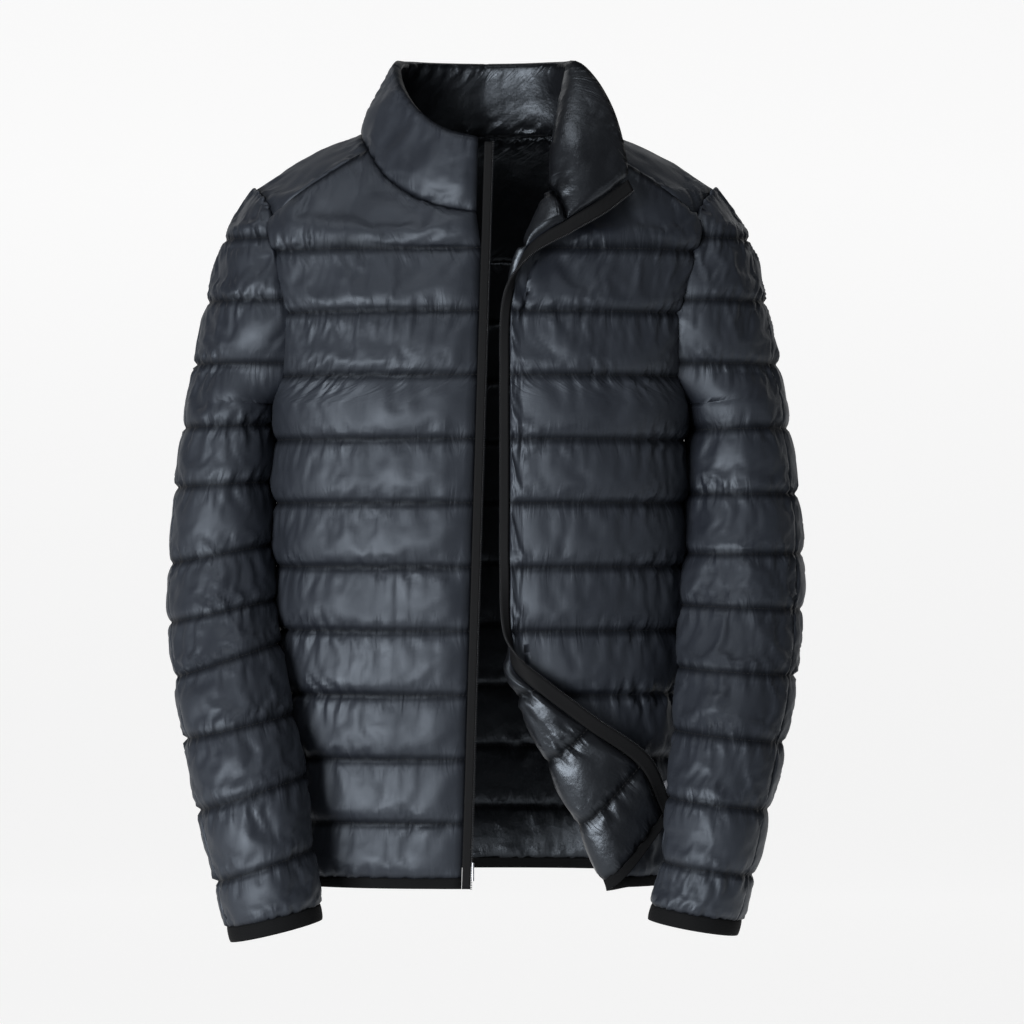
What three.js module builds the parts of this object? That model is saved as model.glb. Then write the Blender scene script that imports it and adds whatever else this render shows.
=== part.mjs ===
// Light down jacket, worn open: a hollow garment of quilted panels with a stand collar.
// Millimetres, +Z up, the front faces -Y, and +X is the wearer's left.
// The origin is the middle of the neck base, where the wearer's shoulders carry the jacket.
import * as THREE from 'three'

// Driving sizes
const WALL = 2.2            // two fabrics and the stitching, at a quilt seam
const PUFF = 5.5             // how far a filled channel stands out on the body
const SLEEVE_PUFF = 4.5
const YOKE_PUFF = 4.5
const COLLAR_PUFF = 4.5
const LAPEL_SWELL = 13      // how far the collar's turned end stands out from a straight fold
const FLAP_PUFF = 3       // the fill is pressed thin where a corner is turned back
const SEAM_GAP = 0.4        // clear space between two sewn pieces
const PANEL_WIDTH = { front: 230, back: 500, yoke: 700, collar: 500, sleeve: 150 }   // along a channel
const YOKE_GAP = 2           // clear height between the back and the yoke
const EDGE_TAPER = 14       // width in which a channel thins out to its end seam
const CHANNEL = 56          // pitch of the quilt lines on the body
const CHANNELS = 10         // channels between the hem and the first quilt line
const FIRST_LINE = -116     // height of the first quilt line
const HEM = -669            // lower edge of the panels
const HEM_ROW = FIRST_LINE - CHANNEL * (CHANNELS - 1) - HEM   // height of the hem channel
const HEM_BINDING = 8
const CUFF_BINDING = 12
const BINDING_WALL = 3.4
const TAPE = 7.5            // zip tape and teeth that show beside a front edge
const TAPE_INSIDE = 12.5    // its full width, which shows where the edge is turned back
const TAPE_WALL = 2.4
const CORNER = 2.7          // exponent of the body's rounded section
const YOKE_TURN = 72        // where the yoke seam meets the neck, degrees from the front
const UNDERARM = -250

// Body sections, level by level: half width, depth to the front and back, sideways shift
const BODY = [
  { z: -690, half: 184, front: 122, back: 114, shift: -4 },
  { z: -560, half: 184, front: 124, back: 117, shift: -4 },
  { z: -400, half: 183, front: 124, back: 119, shift: -4 },
  { z: -256, half: 183, front: 123, back: 121, shift: -4 },
  { z: -185, half: 187, front: 116, back: 123, shift: -2 },
  { z: -116, half: 199, front: 100, back: 117, shift: 0 },
  { z: -60, half: 214, front: 86, back: 100, shift: 0 },
]
// Armhole: distance from the middle, and from the surface's front or back above the first line
const ARMHOLE = [
  { z: -250, x: 183 },
  { z: -228, x: 175 },
  { z: -185, x: 171 },
  { z: -150, x: 176 },
  { z: -116, x: 186 },
]
const ARMHOLE_TOP = [
  { z: -116, x: 186, front: -49, back: 60 },
  { z: -86, x: 190, front: -38, back: 50 },
  { z: -68, x: 199, front: -18, back: 30 },
  { z: -58, x: 206, front: 4, back: 5 },
]
// Neck seam and collar rim, by degrees from the front
const NECK = [
  { turn: 0, x: 0, y: -93, z: -85, rimX: 0, rimY: -86, rimZ: -22 },
  { turn: 18, x: 34, y: -89, z: -80, rimX: 27, rimY: -79, rimZ: -16 },
  { turn: 36, x: 64, y: -77, z: -68, rimX: 46, rimY: -67, rimZ: -6 },
  { turn: 54, x: 88, y: -57, z: -49, rimX: 63, rimY: -49, rimZ: 11 },
  { turn: 72, x: 103, y: -31, z: -25, rimX: 75, rimY: -24, rimZ: 32 },
  { turn: 90, x: 110, y: 2, z: -8, rimX: 79, rimY: 8, rimZ: 52 },
  { turn: 120, x: 94, y: 41, z: -4, rimX: 68, rimY: 40, rimZ: 57 },
  { turn: 150, x: 55, y: 67, z: -4, rimX: 39, rimY: 59, rimZ: 58 },
  { turn: 180, x: 0, y: 76, z: -4, rimX: 0, rimY: 66, rimZ: 58 },
]
// Yoke seam on the front of the shoulder, from the neck (0) to the armhole (1)
const YOKE_SEAM = [
  { at: 0, x: 103, y: -31, z: -25 },
  { at: 0.3, x: 129, y: -42, z: -40 },
  { at: 0.7, x: 167, y: -47, z: -66 },
  { at: 1, x: 190, y: -38, z: -86 },
]
// Turned-back edge of the wearer's left front, row by row from the hem (0) to the neck (11):
// the outermost point of the fold, the jacket's edge, and the radius of the fold (0 is flat)
const LEFT_EDGE = [
  { row: -0.23, foldX: 110, foldY: -130, foldZ: -680, edgeX: 169, edgeY: -115, edgeZ: -611, radius: 9 },
  { row: 0, foldX: 107, foldY: -130, foldZ: -669, edgeX: 163, edgeY: -116, edgeZ: -602, radius: 9 },
  { row: 1, foldX: 85, foldY: -133, foldZ: -620, edgeX: 143, edgeY: -129, edgeZ: -560, radius: 9 },
  { row: 2, foldX: 58, foldY: -134, foldZ: -564, edgeX: 98, edgeY: -140, edgeZ: -527, radius: 9 },
  { row: 3, foldX: 33, foldY: -134, foldZ: -508, edgeX: 53, edgeY: -143, edgeZ: -493, radius: 8 },
  { row: 3.5, foldX: 24, foldY: -131, foldZ: -480, edgeX: 30, edgeY: -141, edgeZ: -474, radius: 5 },
  { row: 4, foldX: 26, foldY: -126, foldZ: -452, edgeX: 17, edgeY: -135, edgeZ: -452, radius: 0 },
  { row: 5, foldX: 27, foldY: -124, foldZ: -396, edgeX: 14, edgeY: -124, edgeZ: -396, radius: 0 },
  { row: 6, foldX: 27, foldY: -124, foldZ: -340, edgeX: 14, edgeY: -124, edgeZ: -340, radius: 0 },
  { row: 7, foldX: 27, foldY: -123, foldZ: -284, edgeX: 14, edgeY: -123, edgeZ: -284, radius: 0 },
  { row: 8, foldX: 27, foldY: -121, foldZ: -228, edgeX: 14, edgeY: -121, edgeZ: -228, radius: 0 },
  { row: 9, foldX: 28, foldY: -116, foldZ: -172, edgeX: 15, edgeY: -120, edgeZ: -172, radius: 0 },
  { row: 9.5, foldX: 27, foldY: -113, foldZ: -144, edgeX: 22, edgeY: -124, edgeZ: -146, radius: 3 },
  { row: 10, foldX: 37, foldY: -110, foldZ: -116, edgeX: 41, edgeY: -125, edgeZ: -124, radius: 6 },
  { row: 10.5, foldX: 50, foldY: -100, foldZ: -92, edgeX: 58, edgeY: -122, edgeZ: -113, radius: 8 },
  { row: 11, foldX: 60, foldY: -87, foldZ: -64, edgeX: 76, edgeY: -118, edgeZ: -104, radius: 9 },
]
// The collar's turned-back end, from the neck seam (0) to the rim (1)
const COLLAR_EDGE = [
  { up: 0, foldX: 60, foldY: -87, foldZ: -64, edgeX: 76, edgeY: -118, edgeZ: -104, radius: 9 },
  { up: 0.5, foldX: 64, foldY: -70, foldZ: -8, edgeX: 106, edgeY: -107, edgeZ: -86, radius: 9 },
  { up: 1, foldX: 74, foldY: -22, foldZ: 50, edgeX: 131, edgeY: -92, edgeZ: -66, radius: 8 },
]
const COLLAR_TURN = [
  { up: 0, turn: 44 },
  { up: 0.5, turn: 60 },
  { up: 1, turn: 88 },
]
// Sleeves: quilt lines from the cuff (0) to the underarm (8), then the sleeve head (9 to 12).
// Outer and inner ends of each line, middle of the tube in depth, half depth.
const SLEEVE = {
  right: [
    { row: 0, outX: 226, outZ: -708, inX: 143, inZ: -689, y: -146, deep: 44 },
    { row: 1, outX: 235, outZ: -668, inX: 151, inZ: -641, y: -142, deep: 47 },
    { row: 2, outX: 251, outZ: -607, inX: 161, inZ: -578, y: -130, deep: 50 },
    { row: 3, outX: 264, outZ: -546, inX: 175, inZ: -525, y: -108, deep: 52 },
    { row: 4, outX: 275, outZ: -493, inX: 189, inZ: -464, y: -80, deep: 54 },
    { row: 5, outX: 282, outZ: -446, inX: 194, inZ: -426, y: -54, deep: 56 },
    { row: 6, outX: 283, outZ: -394, inX: 197, inZ: -377, y: -30, deep: 58 },
    { row: 7, outX: 279, outZ: -326, inX: 196, inZ: -321, y: -16, deep: 60 },
    { row: 8, outX: 273, outZ: -273, inX: 191, inZ: -270, y: -6, deep: 62 },
    { row: 9, outX: 263, outZ: -216 },
    { row: 10, outX: 252, outZ: -160 },
    { row: 11, outX: 237, outZ: -104 },
    { row: 12, outX: 210, outZ: -59 },
  ],
  left: [
    { row: 0, outX: 226, outZ: -701, inX: 146, inZ: -688, y: -158, deep: 45 },
    { row: 1, outX: 236, outZ: -661, inX: 156, inZ: -650, y: -155, deep: 48 },
    { row: 2, outX: 250, outZ: -605, inX: 164, inZ: -595, y: -146, deep: 51 },
    { row: 3, outX: 264, outZ: -548, inX: 173, inZ: -538, y: -126, deep: 54 },
    { row: 4, outX: 276, outZ: -491, inX: 178, inZ: -484, y: -92, deep: 56 },
    { row: 5, outX: 284, outZ: -434, inX: 181, inZ: -430, y: -56, deep: 58 },
    { row: 6, outX: 286, outZ: -385, inX: 184, inZ: -385, y: -34, deep: 60 },
    { row: 7, outX: 282, outZ: -332, inX: 185, inZ: -332, y: -16, deep: 62 },
    { row: 8, outX: 275, outZ: -273, inX: 186, inZ: -275, y: -6, deep: 63 },
    { row: 9, outX: 266, outZ: -216 },
    { row: 10, outX: 255, outZ: -160 },
    { row: 11, outX: 240, outZ: -104 },
    { row: 12, outX: 210, outZ: -59 },
  ],
}
// Half depth of the sleeve head, from the underarm (8) to the shoulder tip (12)
const SLEEVE_HEAD = [
  { row: 8, deep: 59 },
  { row: 9, deep: 55 },
  { row: 10, deep: 50 },
  { row: 11, deep: 40 },
  { row: 12, deep: 30 },
]
const ARMHOLE_CORNER = -80  // height at which the sleeve head's last row leaves the armhole
const UNDERARM_WEB = 0.3    // share of a row in which the tube opens into the armhole
const SLEEVE_GAP = 1.2      // clear space between the sleeve head and the armhole
const TOP_GAP = 0.03        // share of the top channel and of the collar that the neck seam leaves free
const OUTER_SEAM = { right: 20, left: 32 }   // the sleeve's outer seam, degrees forward of the side
const CHANNEL_STEPS = [0, 0.16, 0.5, 0.84]   // rows of points within one channel

const SHELL = new THREE.MeshStandardMaterial({ color: 0x2b2d33, roughness: 0.42, metalness: 0 })
const BINDING = new THREE.MeshStandardMaterial({ color: 0x1d1e22, roughness: 0.7, metalness: 0 })
const ZIP_TAPE = new THREE.MeshStandardMaterial({ color: 0x34363b, roughness: 0.6, metalness: 0 })
const ZIP_METAL = new THREE.MeshStandardMaterial({ color: 0x8d9096, roughness: 0.35, metalness: 0.9 })

const rad = THREE.MathUtils.degToRad
const clamp = THREE.MathUtils.clamp
const lerp = THREE.MathUtils.lerp
const vec = (x, y, z) => new THREE.Vector3(x, y, z)

// Value of a column of a table at a place along its key column, on a smooth curve through its rows
function tableAt(table, key, column, place) {
  const last = table.length - 1
  let i = 0
  while (i < last - 1 && place > table[i + 1][key]) i += 1
  const [a, b] = [table[i], table[i + 1]]
  const span = b[key] - a[key]
  const t = clamp((place - a[key]) / span, 0, 1)
  const slope = (j) => {
    const lower = table[Math.max(j - 1, 0)]
    const upper = table[Math.min(j + 1, last)]
    return (upper[column] - lower[column]) / (upper[key] - lower[key])
  }
  const t2 = t * t
  const t3 = t2 * t
  return (2 * t3 - 3 * t2 + 1) * a[column] + (t3 - 2 * t2 + t) * span * slope(i)
    + (3 * t2 - 2 * t3) * b[column] + (t3 - t2) * span * slope(i + 1)
}

// Body surface at seam level: side is 1 for the wearer's left, turn runs 0 (front) to 180 (back)
function bodyPoint(turn, z) {
  const row = (column) => tableAt(BODY, 'z', column, z)
  const s = Math.sin(rad(turn))
  const c = Math.cos(rad(turn))
  const depth = c > 0 ? -row('front') : row('back')
  const power = 2 / CORNER
  return vec(
    row('shift') + Math.sign(s) * row('half') * Math.abs(s) ** power,
    depth * Math.abs(c) ** power,
    z,
  )
}

// Turn at which the body surface has a given distance from its middle
function turnAt(distance, z) {
  const share = clamp(distance / tableAt(BODY, 'z', 'half', z), -1, 1)
  const turn = THREE.MathUtils.radToDeg(Math.asin(Math.abs(share) ** (CORNER / 2)))
  return Math.sign(share) * turn
}

const heightOf = (row) => (row < 1 ? HEM + HEM_ROW * row
  : FIRST_LINE - CHANNEL * (CHANNELS - row))

// Point of the armhole at a height; back is false for its front half
function armholePoint(side, z, back) {
  if (z < FIRST_LINE) {
    const x = z <= UNDERARM ? 1e3 : tableAt(ARMHOLE, 'z', 'x', z)
    const turn = z <= UNDERARM ? 90 : turnAt(x, z)
    const point = bodyPoint(back ? 180 - turn : turn, z)
    const shift = tableAt(BODY, 'z', 'shift', z)
    return vec(shift + side * (point.x - shift), point.y, z)
  }
  const y = tableAt(ARMHOLE_TOP, 'z', back ? 'back' : 'front', z)
  return vec(side * tableAt(ARMHOLE_TOP, 'z', 'x', z), y, z)
}

function neckPoint(turn, up = 0) {
  const around = Math.min(Math.abs(turn), 360 - Math.abs(turn))
  const side = turn < 0 || turn > 180 ? -1 : 1
  const at = (column) => tableAt(NECK, 'turn', column, around)
  const neck = vec(side * at('x'), at('y'), at('z'))
  const rim = vec(side * at('rimX'), at('rimY'), at('rimZ'))
  return neck.lerp(rim, up)
}

function yokeSeam(side, at) {
  const value = (column) => tableAt(YOKE_SEAM, 'at', column, at)
  return vec(side * value('x'), value('y'), value('z'))
}

// Edge of the wearer's right front, which hangs straight beside the opening
const rightEdgeX = (z) => 5 + 0.03 * (z + 110)

// One row of a front, from the side (0) to where the main cloth ends (1)
function frontRow(side, row, s, endX, endTurn) {
  if (row <= CHANNELS) {
    const z = heightOf(row)
    const shift = tableAt(BODY, 'z', 'shift', z)
    const x = z <= UNDERARM ? 1e3 : tableAt(ARMHOLE, 'z', 'x', z)
    const outerTurn = z <= UNDERARM ? 90 - 0.12 : turnAt(x, z) - 0.12
    const turn = lerp(outerTurn, turnAt(side * (endX - shift), z), s)
    const point = bodyPoint(turn, z)
    return vec(shift + side * (point.x - shift), point.y, z)
  }
  // The top channel runs from the first line to the yoke seam and the neck seam
  const bend = 0.52
  const top = s < bend ? yokeSeam(side, 1 - s / bend)
    : neckPoint(side * lerp(YOKE_TURN, endTurn, (s - bend) / (1 - bend)))
  const low = frontRow(side, CHANNELS, s, endX, endTurn)
  const v = (row - CHANNELS) * (1 - TOP_GAP)
  const swell = Math.sin(Math.PI * v) * 5
  return low.lerp(top, v).add(vec(side * swell * 0.3 * (1 - s), -swell, 0))
}

function rightFront(s, row) {
  const z = heightOf(Math.min(row, CHANNELS))
  return frontRow(-1, row, s, rightEdgeX(z) - TAPE - SEAM_GAP, 3.8)
}

// The turned part of a row as a run of points, from the main cloth to the jacket's edge
function turnedRun(table, key, place, start, before) {
  const at = (column) => tableAt(table, key, column, place)
  const radius = at('radius')
  const fold = vec(at('foldX'), at('foldY'), at('foldZ'))
  const edge = vec(at('edgeX'), at('edgeY'), at('edgeZ'))
  const inward = edge.clone().sub(fold).normalize()
  const turned = fold.clone().addScaledVector(inward, radius + 2).add(vec(radius * 0.4, -radius * 0.75, 0))
  const flat = fold.clone().lerp(edge, 0.4)
  const middle = flat.lerp(turned, clamp(radius / 5, 0, 1))
  const curve = new THREE.CatmullRomCurve3([before, start, fold, middle, edge], false, 'centripetal')
  const steps = 36
  return Array.from({ length: steps + 1 }, (_, i) => curve.getPoint(lerp(0.25, 1, i / steps)))
}

const tapeWidth = (radius) => lerp(TAPE, TAPE_INSIDE, clamp(radius / 6, 0, 1))

// Point of a run at a share of its cloth (0 to 1), or of the zip tape beyond it (1 to 2)
function runPoint(run, share, tape) {
  const lengths = [0]
  for (let i = 1; i < run.length; i += 1) lengths.push(lengths[i - 1] + run[i].distanceTo(run[i - 1]))
  const total = lengths[lengths.length - 1]
  const cloth = total - tape - SEAM_GAP * 3
  const wanted = share <= 1 ? cloth * share : lerp(total - tape, total, share - 1)
  let i = 1
  while (i < run.length - 1 && lengths[i] < wanted) i += 1
  return run[i - 1].clone().lerp(run[i], (wanted - lengths[i - 1]) / (lengths[i] - lengths[i - 1]))
}

// The wearer's left front: 0 to 1 is the main cloth, 1 to 2 the strip that is turned back,
// and 2 to 3 its zip tape
const LEFT_NECK_TURN = 46
function leftFront(s, row) {
  const capped = Math.min(row, CHANNELS)
  const fold = (column) => tableAt(LEFT_EDGE, 'row', column, capped)
  const endX = fold('foldX') + Math.max(fold('radius'), 0) + 8
  const main = (share) => frontRow(1, row, share, endX, LEFT_NECK_TURN)
  if (s <= 1) return main(s)
  const below = row > CHANNELS ? lerp(CHANNELS, row, 0.96) : row
  return runPoint(turnedRun(LEFT_EDGE, 'row', below, main(1), main(0.9)), s - 1, tapeWidth(fold('radius')))
}

// The back, from the wearer's right side (0) to the left (1), up to the first line
function back(s, row) {
  const z = heightOf(row)
  const shift = tableAt(BODY, 'z', 'shift', z)
  const x = z <= UNDERARM ? 1e3 : tableAt(ARMHOLE, 'z', 'x', z)
  const side = z <= UNDERARM ? 90 - 0.12 : turnAt(x, z) - 0.12
  const turn = 180 - lerp(-side, side, s)
  const point = bodyPoint(Math.abs(turn) > 180 ? 360 - turn : turn, z)
  return vec(shift + (s < 0.5 ? -1 : 1) * Math.abs(point.x - shift), point.y, z)
}

// The yoke, from the right yoke seam (0) round the back of the neck to the left one (1),
// and from its outer edge (0) to the neck seam (1)
const YOKE_BACK = [0.3, 0.7]        // where its lower edge on the back starts and ends
function yokeOuter(s) {
  const side = s < 0.5 ? -1 : 1
  const q = Math.min(s, 1 - s)
  if (q < YOKE_BACK[0] / 2) {
    const z = lerp(-86, -58, Math.sin((Math.PI / 2) * (q / (YOKE_BACK[0] / 2))))
    return armholePoint(side, z, false).add(vec(-side * 1.2, 0, 0))
  }
  if (q < YOKE_BACK[0]) {
    const share = (q - YOKE_BACK[0] / 2) / (YOKE_BACK[0] / 2)
    const z = lerp(-58, FIRST_LINE + YOKE_GAP, 1 - Math.cos((Math.PI / 2) * share))
    return armholePoint(side, z, true).add(vec(-side * 2, 0, 0))
  }
  const share = (s - YOKE_BACK[0]) / (YOKE_BACK[1] - YOKE_BACK[0])
  return back(share, CHANNELS).add(vec(0, 0, YOKE_GAP))
}
function yoke(s, t) {
  const neckTurn = lerp(-YOKE_TURN, -360 + YOKE_TURN, s)
  const inner = neckPoint(neckTurn < -180 ? 360 + neckTurn : neckTurn)
  const outer = yokeOuter(s)
  const v = t * (1 - TOP_GAP / 2)
  const seam = yokeSeam(s < 0.5 ? -1 : 1, 1 - t)
  const along = outer.clone().lerp(inner, v)
  const nearSeam = Math.max(0, 1 - Math.min(s, 1 - s) / 0.12)
  const behind = clamp((0.5 - Math.abs(s - 0.5)) * 4 - 0.6, 0, 1)
  along.lerp(seam, nearSeam * nearSeam)
  return along.add(vec(0, 6 * behind * Math.sin(Math.PI * v), 5 * (1 - nearSeam) * Math.sin(Math.PI * v)))
    .add(vec(0, 1.2 * nearSeam, 0))
}

// The collar, from the right front end (0) round the back to the left fold (1), then turned (1 to 2)
function collar(s, up) {
  const end = tableAt(COLLAR_TURN, 'up', 'turn', up)
  const lifted = lerp(TOP_GAP, 1, up)
  const main = (share) => {
    const turn = lerp(-3.8, -360 + end, share)
    const point = neckPoint(turn < -180 ? 360 + turn : turn, lifted)
    const around = Math.abs(turn < -180 ? 360 + turn : turn)
    return point.add(vec(0, Math.sign(around - 90) * Math.sin(Math.PI * up) * 2, 0))
  }
  if (s <= 1) return main(s)
  const run = turnedRun(COLLAR_EDGE, 'up', up, main(1), main(0.97))
  const point = runPoint(run, s - 1, TAPE_INSIDE)
  const bulge = Math.sin(Math.PI * clamp(s - 1, 0, 1)) * up * LAPEL_SWELL
  return point.add(vec(bulge, -bulge * 0.3, SEAM_GAP * 1.5 * (1 - up)))
}

// One half of a sleeve section, -1 in front and 1 behind: its ends, half depth and first angle
function sleeveHalf(which, half, row) {
  const side = which === 'left' ? 1 : -1
  const inset = SLEEVE_PUFF * clamp(12 - row, 0, 1)
  const outer = (column) => tableAt(SLEEVE[which], 'row', column, row)
  const out = vec(side * (outer('outX') - inset), 0, outer('outZ'))
  const ring = (column) => tableAt(SLEEVE[which].slice(0, 9), 'row', column, Math.min(row, 8))
  const middleY = row > 8 ? lerp(ring('y'), 4, (row - 8) / 4) : ring('y')
  const start = vec(side * (ring('inX')), middleY, ring('inZ'))
  let deep = ring('deep') - SLEEVE_PUFF / 2
  if (row > 8) {
    const high = row > 11 ? lerp(out.z, ARMHOLE_CORNER, row - 11) : out.z
    const hole = armholePoint(side, Math.max(high, UNDERARM), half > 0).add(vec(side * SLEEVE_GAP, 0, 0))
    start.lerp(hole, clamp((row - 8) / UNDERARM_WEB, 0, 1))
    deep = Math.max(tableAt(SLEEVE_HEAD, 'row', 'deep', row), Math.abs(start.y - middleY) * 1.03)
  }
  const from = Math.PI - Math.asin(clamp(Math.abs(start.y - middleY) / deep, 0, 1))
  return { half, start, out, middleY, deep, from: Math.min(from, Math.PI - 0.012) }
}
function ellipsePoint({ half, start, out, middleY, deep, from }, angle) {
  const across = (out.x - start.x) / (1 - Math.cos(from))
  const x = out.x - across * (1 - Math.cos(angle))
  const share = clamp((x - start.x) / (out.x - start.x), 0, 1)
  return vec(x, middleY + half * deep * Math.sin(angle), lerp(start.z, out.z, share))
}
// One sleeve row: s runs from the inner seam or the armhole (0) to the outer seam (1),
// which lies forward of the side, so the back panel reaches round onto the front half
function sleeve(which, half, s, row) {
  const seam = rad(OUTER_SEAM[which] * clamp((12 - row) / 4, 0, 1))
  const gap = rad(0.6)
  const front = sleeveHalf(which, -1, row)
  if (half < 0) return ellipsePoint(front, lerp(front.from, seam + gap, s))
  const behind = sleeveHalf(which, 1, row)
  const angle = lerp(behind.from, gap - seam, s)
  return angle > 0 ? ellipsePoint(behind, angle) : ellipsePoint(front, -angle)
}

// A closed wall between an outer grid and a coarser plain inner grid of the same surface.
// lift is the outer points' distance from the surface, drop the inner points' distance below it;
// facing is 1 where across x up points out of the garment, and -1 where it points in.
function wall(surface, { rows, columns, innerRows, innerColumns, lift, drop, facing, closed = false }) {
  const step = 0.004
  const points = []
  const triangles = []
  const [s0, s1] = [columns[0], columns[columns.length - 1]]
  const [t0, t1] = [rows[0], rows[rows.length - 1]]
  const normalAt = (s, t) => {
    const [sa, sb] = closed ? [s - step, s + step] : [Math.max(s - step, s0), Math.min(s + step, s1)]
    const [ta, tb] = [Math.max(t - step * 4, t0), Math.min(t + step * 4, t1)]
    const across = surface(sb, t).sub(surface(sa, t))
    const up = surface(s, tb).sub(surface(s, ta))
    return across.cross(up).normalize().multiplyScalar(facing)
  }
  const grid = (ss, ts, offset) => ts.map((t) => ss.map((s) => {
    const p = surface(s, t).addScaledVector(normalAt(s, t), offset(s, t))
    points.push(p)
    return points.length - 1
  }))
  const outer = grid(closed ? columns.slice(0, -1) : columns, rows, lift)
  const inner = grid(closed ? innerColumns.slice(0, -1) : innerColumns, innerRows, (s, t) => -drop)
  const wrap = (row) => (closed ? [...row, row[0]] : row)
  const face = (lattice, flip) => {
    for (let j = 0; j + 1 < lattice.length; j += 1) {
      const [low, high] = [wrap(lattice[j]), wrap(lattice[j + 1])]
      for (let i = 0; i + 1 < low.length; i += 1) {
        const quad = [low[i], low[i + 1], high[i + 1], high[i]]
        const across = points[quad[0]].distanceTo(points[quad[2]])
        const cut = across < points[quad[1]].distanceTo(points[quad[3]])
        const pair = cut ? [[0, 1, 2], [0, 2, 3]] : [[0, 1, 3], [1, 2, 3]]
        pair.forEach((tri) => {
          const corner = tri.map((k) => quad[k])
          triangles.push(flip ? corner.reverse() : corner)
        })
      }
    }
  }
  face(outer, false)
  face(inner, true)
  // Rims: each pair of edge lines is stitched by its place along the edge
  const rim = (a, aPlaces, b, bPlaces) => {
    let [i, j] = [0, 0]
    while (i < a.length - 1 || j < b.length - 1) {
      const nextA = i < a.length - 1 ? aPlaces[i + 1] : Infinity
      const nextB = j < b.length - 1 ? bPlaces[j + 1] : Infinity
      if (nextA <= nextB + 1e-9) {
        triangles.push([a[i + 1], a[i], b[j]])
        i += 1
      } else {
        triangles.push([a[i], b[j], b[j + 1]])
        j += 1
      }
    }
  }
  const last = (list) => list[list.length - 1]
  const reversed = (list) => [...list].reverse()
  const negative = (list) => reversed(list).map((value) => -value)
  rim(wrap(outer[0]), columns, wrap(inner[0]), innerColumns)
  rim(reversed(wrap(last(outer))), negative(columns), reversed(wrap(last(inner))), negative(innerColumns))
  if (!closed) {
    rim(outer.map(last), rows, inner.map(last), innerRows)
    const first = (lattice) => reversed(lattice.map((row) => row[0]))
    rim(first(outer), negative(rows), first(inner), negative(innerRows))
  }
  const geometry = new THREE.BufferGeometry()
  const flatPoints = points.flatMap((p) => [p.x, p.y, p.z])
  geometry.setAttribute('position', new THREE.Float32BufferAttribute(flatPoints, 3))
  let volume = 0
  for (const [a, b, c] of triangles) volume += points[a].dot(points[b].clone().cross(points[c])) / 6
  geometry.setIndex(triangles.flatMap(([a, b, c]) => (volume > 0 ? [a, b, c] : [c, b, a])))
  geometry.computeVertexNormals()
  return geometry
}

const jacket = new THREE.Group()
function add(name, geometry, material) {
  const mesh = new THREE.Mesh(geometry, material)
  mesh.name = name
  jacket.add(mesh)
}

// Columns of a panel, closer at its two end seams
const seamed = (count, near) => [0, near, ...even(0, 1, count).slice(1, -1), 1 - near, 1]
const even = (from, to, count) => Array.from({ length: count + 1 }, (_, i) => lerp(from, to, i / count))
const channelRows = (first, last) => {
  const rows = even(first, last - 1, last - 1 - first).flatMap((k) => CHANNEL_STEPS.map((step) => k + step))
  return [...rows, last]
}

// Height of the fill over a quilted surface: nothing on the quilt lines, thin at the end seams,
// and uneven along the channel where the cloth is gathered into the stitching
function fill(puff, width, gather = 0.16) {
  return (s, row) => {
    const place = row - Math.floor(row)
    const full = Math.sin(Math.PI * place) ** 0.55
    const edge = Math.min(s, 1 - s) * width
    const taper = clamp(edge / EDGE_TAPER, 0, 1) ** 1.5
    const uneven = 1 + gather * Math.sin(s * width * 0.11 + Math.floor(row) * 2.1)
    return place < 1e-6 || place > 1 - 1e-6 ? 0 : puff * full * taper * uneven
  }
}

const bodyRows = channelRows(0, CHANNELS)
const topRows = [...channelRows(0, CHANNELS + 1)]
const bodyFill = (width, s, row) => {
  const fromSide = Math.min(s, width > 300 ? 1 - s : 1) * width
  const underarm = clamp(Math.abs(row - 7.6) / 1.3 + fromSide / 45, 0.15, 1)
  return fill(PUFF, width)(s, row) * underarm
}
const frontColumns = seamed(10, 0.04)
const flat = (lift) => () => lift

add('front_right', wall(rightFront, {
  rows: topRows, columns: frontColumns, innerRows: even(0, 11, 11), innerColumns: even(0, 1, 5),
  lift: (s, row) => bodyFill(PANEL_WIDTH.front, s, row), drop: WALL, facing: 1,
}), SHELL)

const flapFill = (s, row) => {
  if (s <= 1) {
    const thinned = lerp(1, FLAP_PUFF / PUFF, clamp((s - 0.85) / 0.15, 0, 1))
    return bodyFill(PANEL_WIDTH.front, Math.min(s, 0.9), row) * thinned
  }
  const place = row - Math.floor(row)
  return FLAP_PUFF * Math.sin(Math.PI * place) ** 0.55 * clamp((2 - s) / 0.3, 0, 1)
}
const turnedColumns = [1.12, 1.28, 1.44, 1.6, 1.8, 2]
add('front_left', wall(leftFront, {
  rows: topRows, columns: [0, 0.045, ...even(0, 1, 9).slice(1), ...turnedColumns], innerRows: topRows,
  innerColumns: [...even(0, 1, 5), ...turnedColumns], lift: flapFill, drop: WALL, facing: -1,
}), SHELL)

add('back', wall(back, {
  rows: bodyRows, columns: seamed(19, 0.022), innerRows: even(0, 10, 10), innerColumns: even(0, 1, 10),
  lift: (s, row) => bodyFill(PANEL_WIDTH.back, s, row), drop: WALL, facing: -1,
}), SHELL)

add('yoke', wall(yoke, {
  rows: [...CHANNEL_STEPS, 1], columns: even(0, 1, 40), innerRows: [0, 0.5, 1], innerColumns: even(0, 1, 20),
  lift: (s, t) => fill(YOKE_PUFF, PANEL_WIDTH.yoke)(s, t * 0.999), drop: WALL, facing: -1,
}), SHELL)

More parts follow.
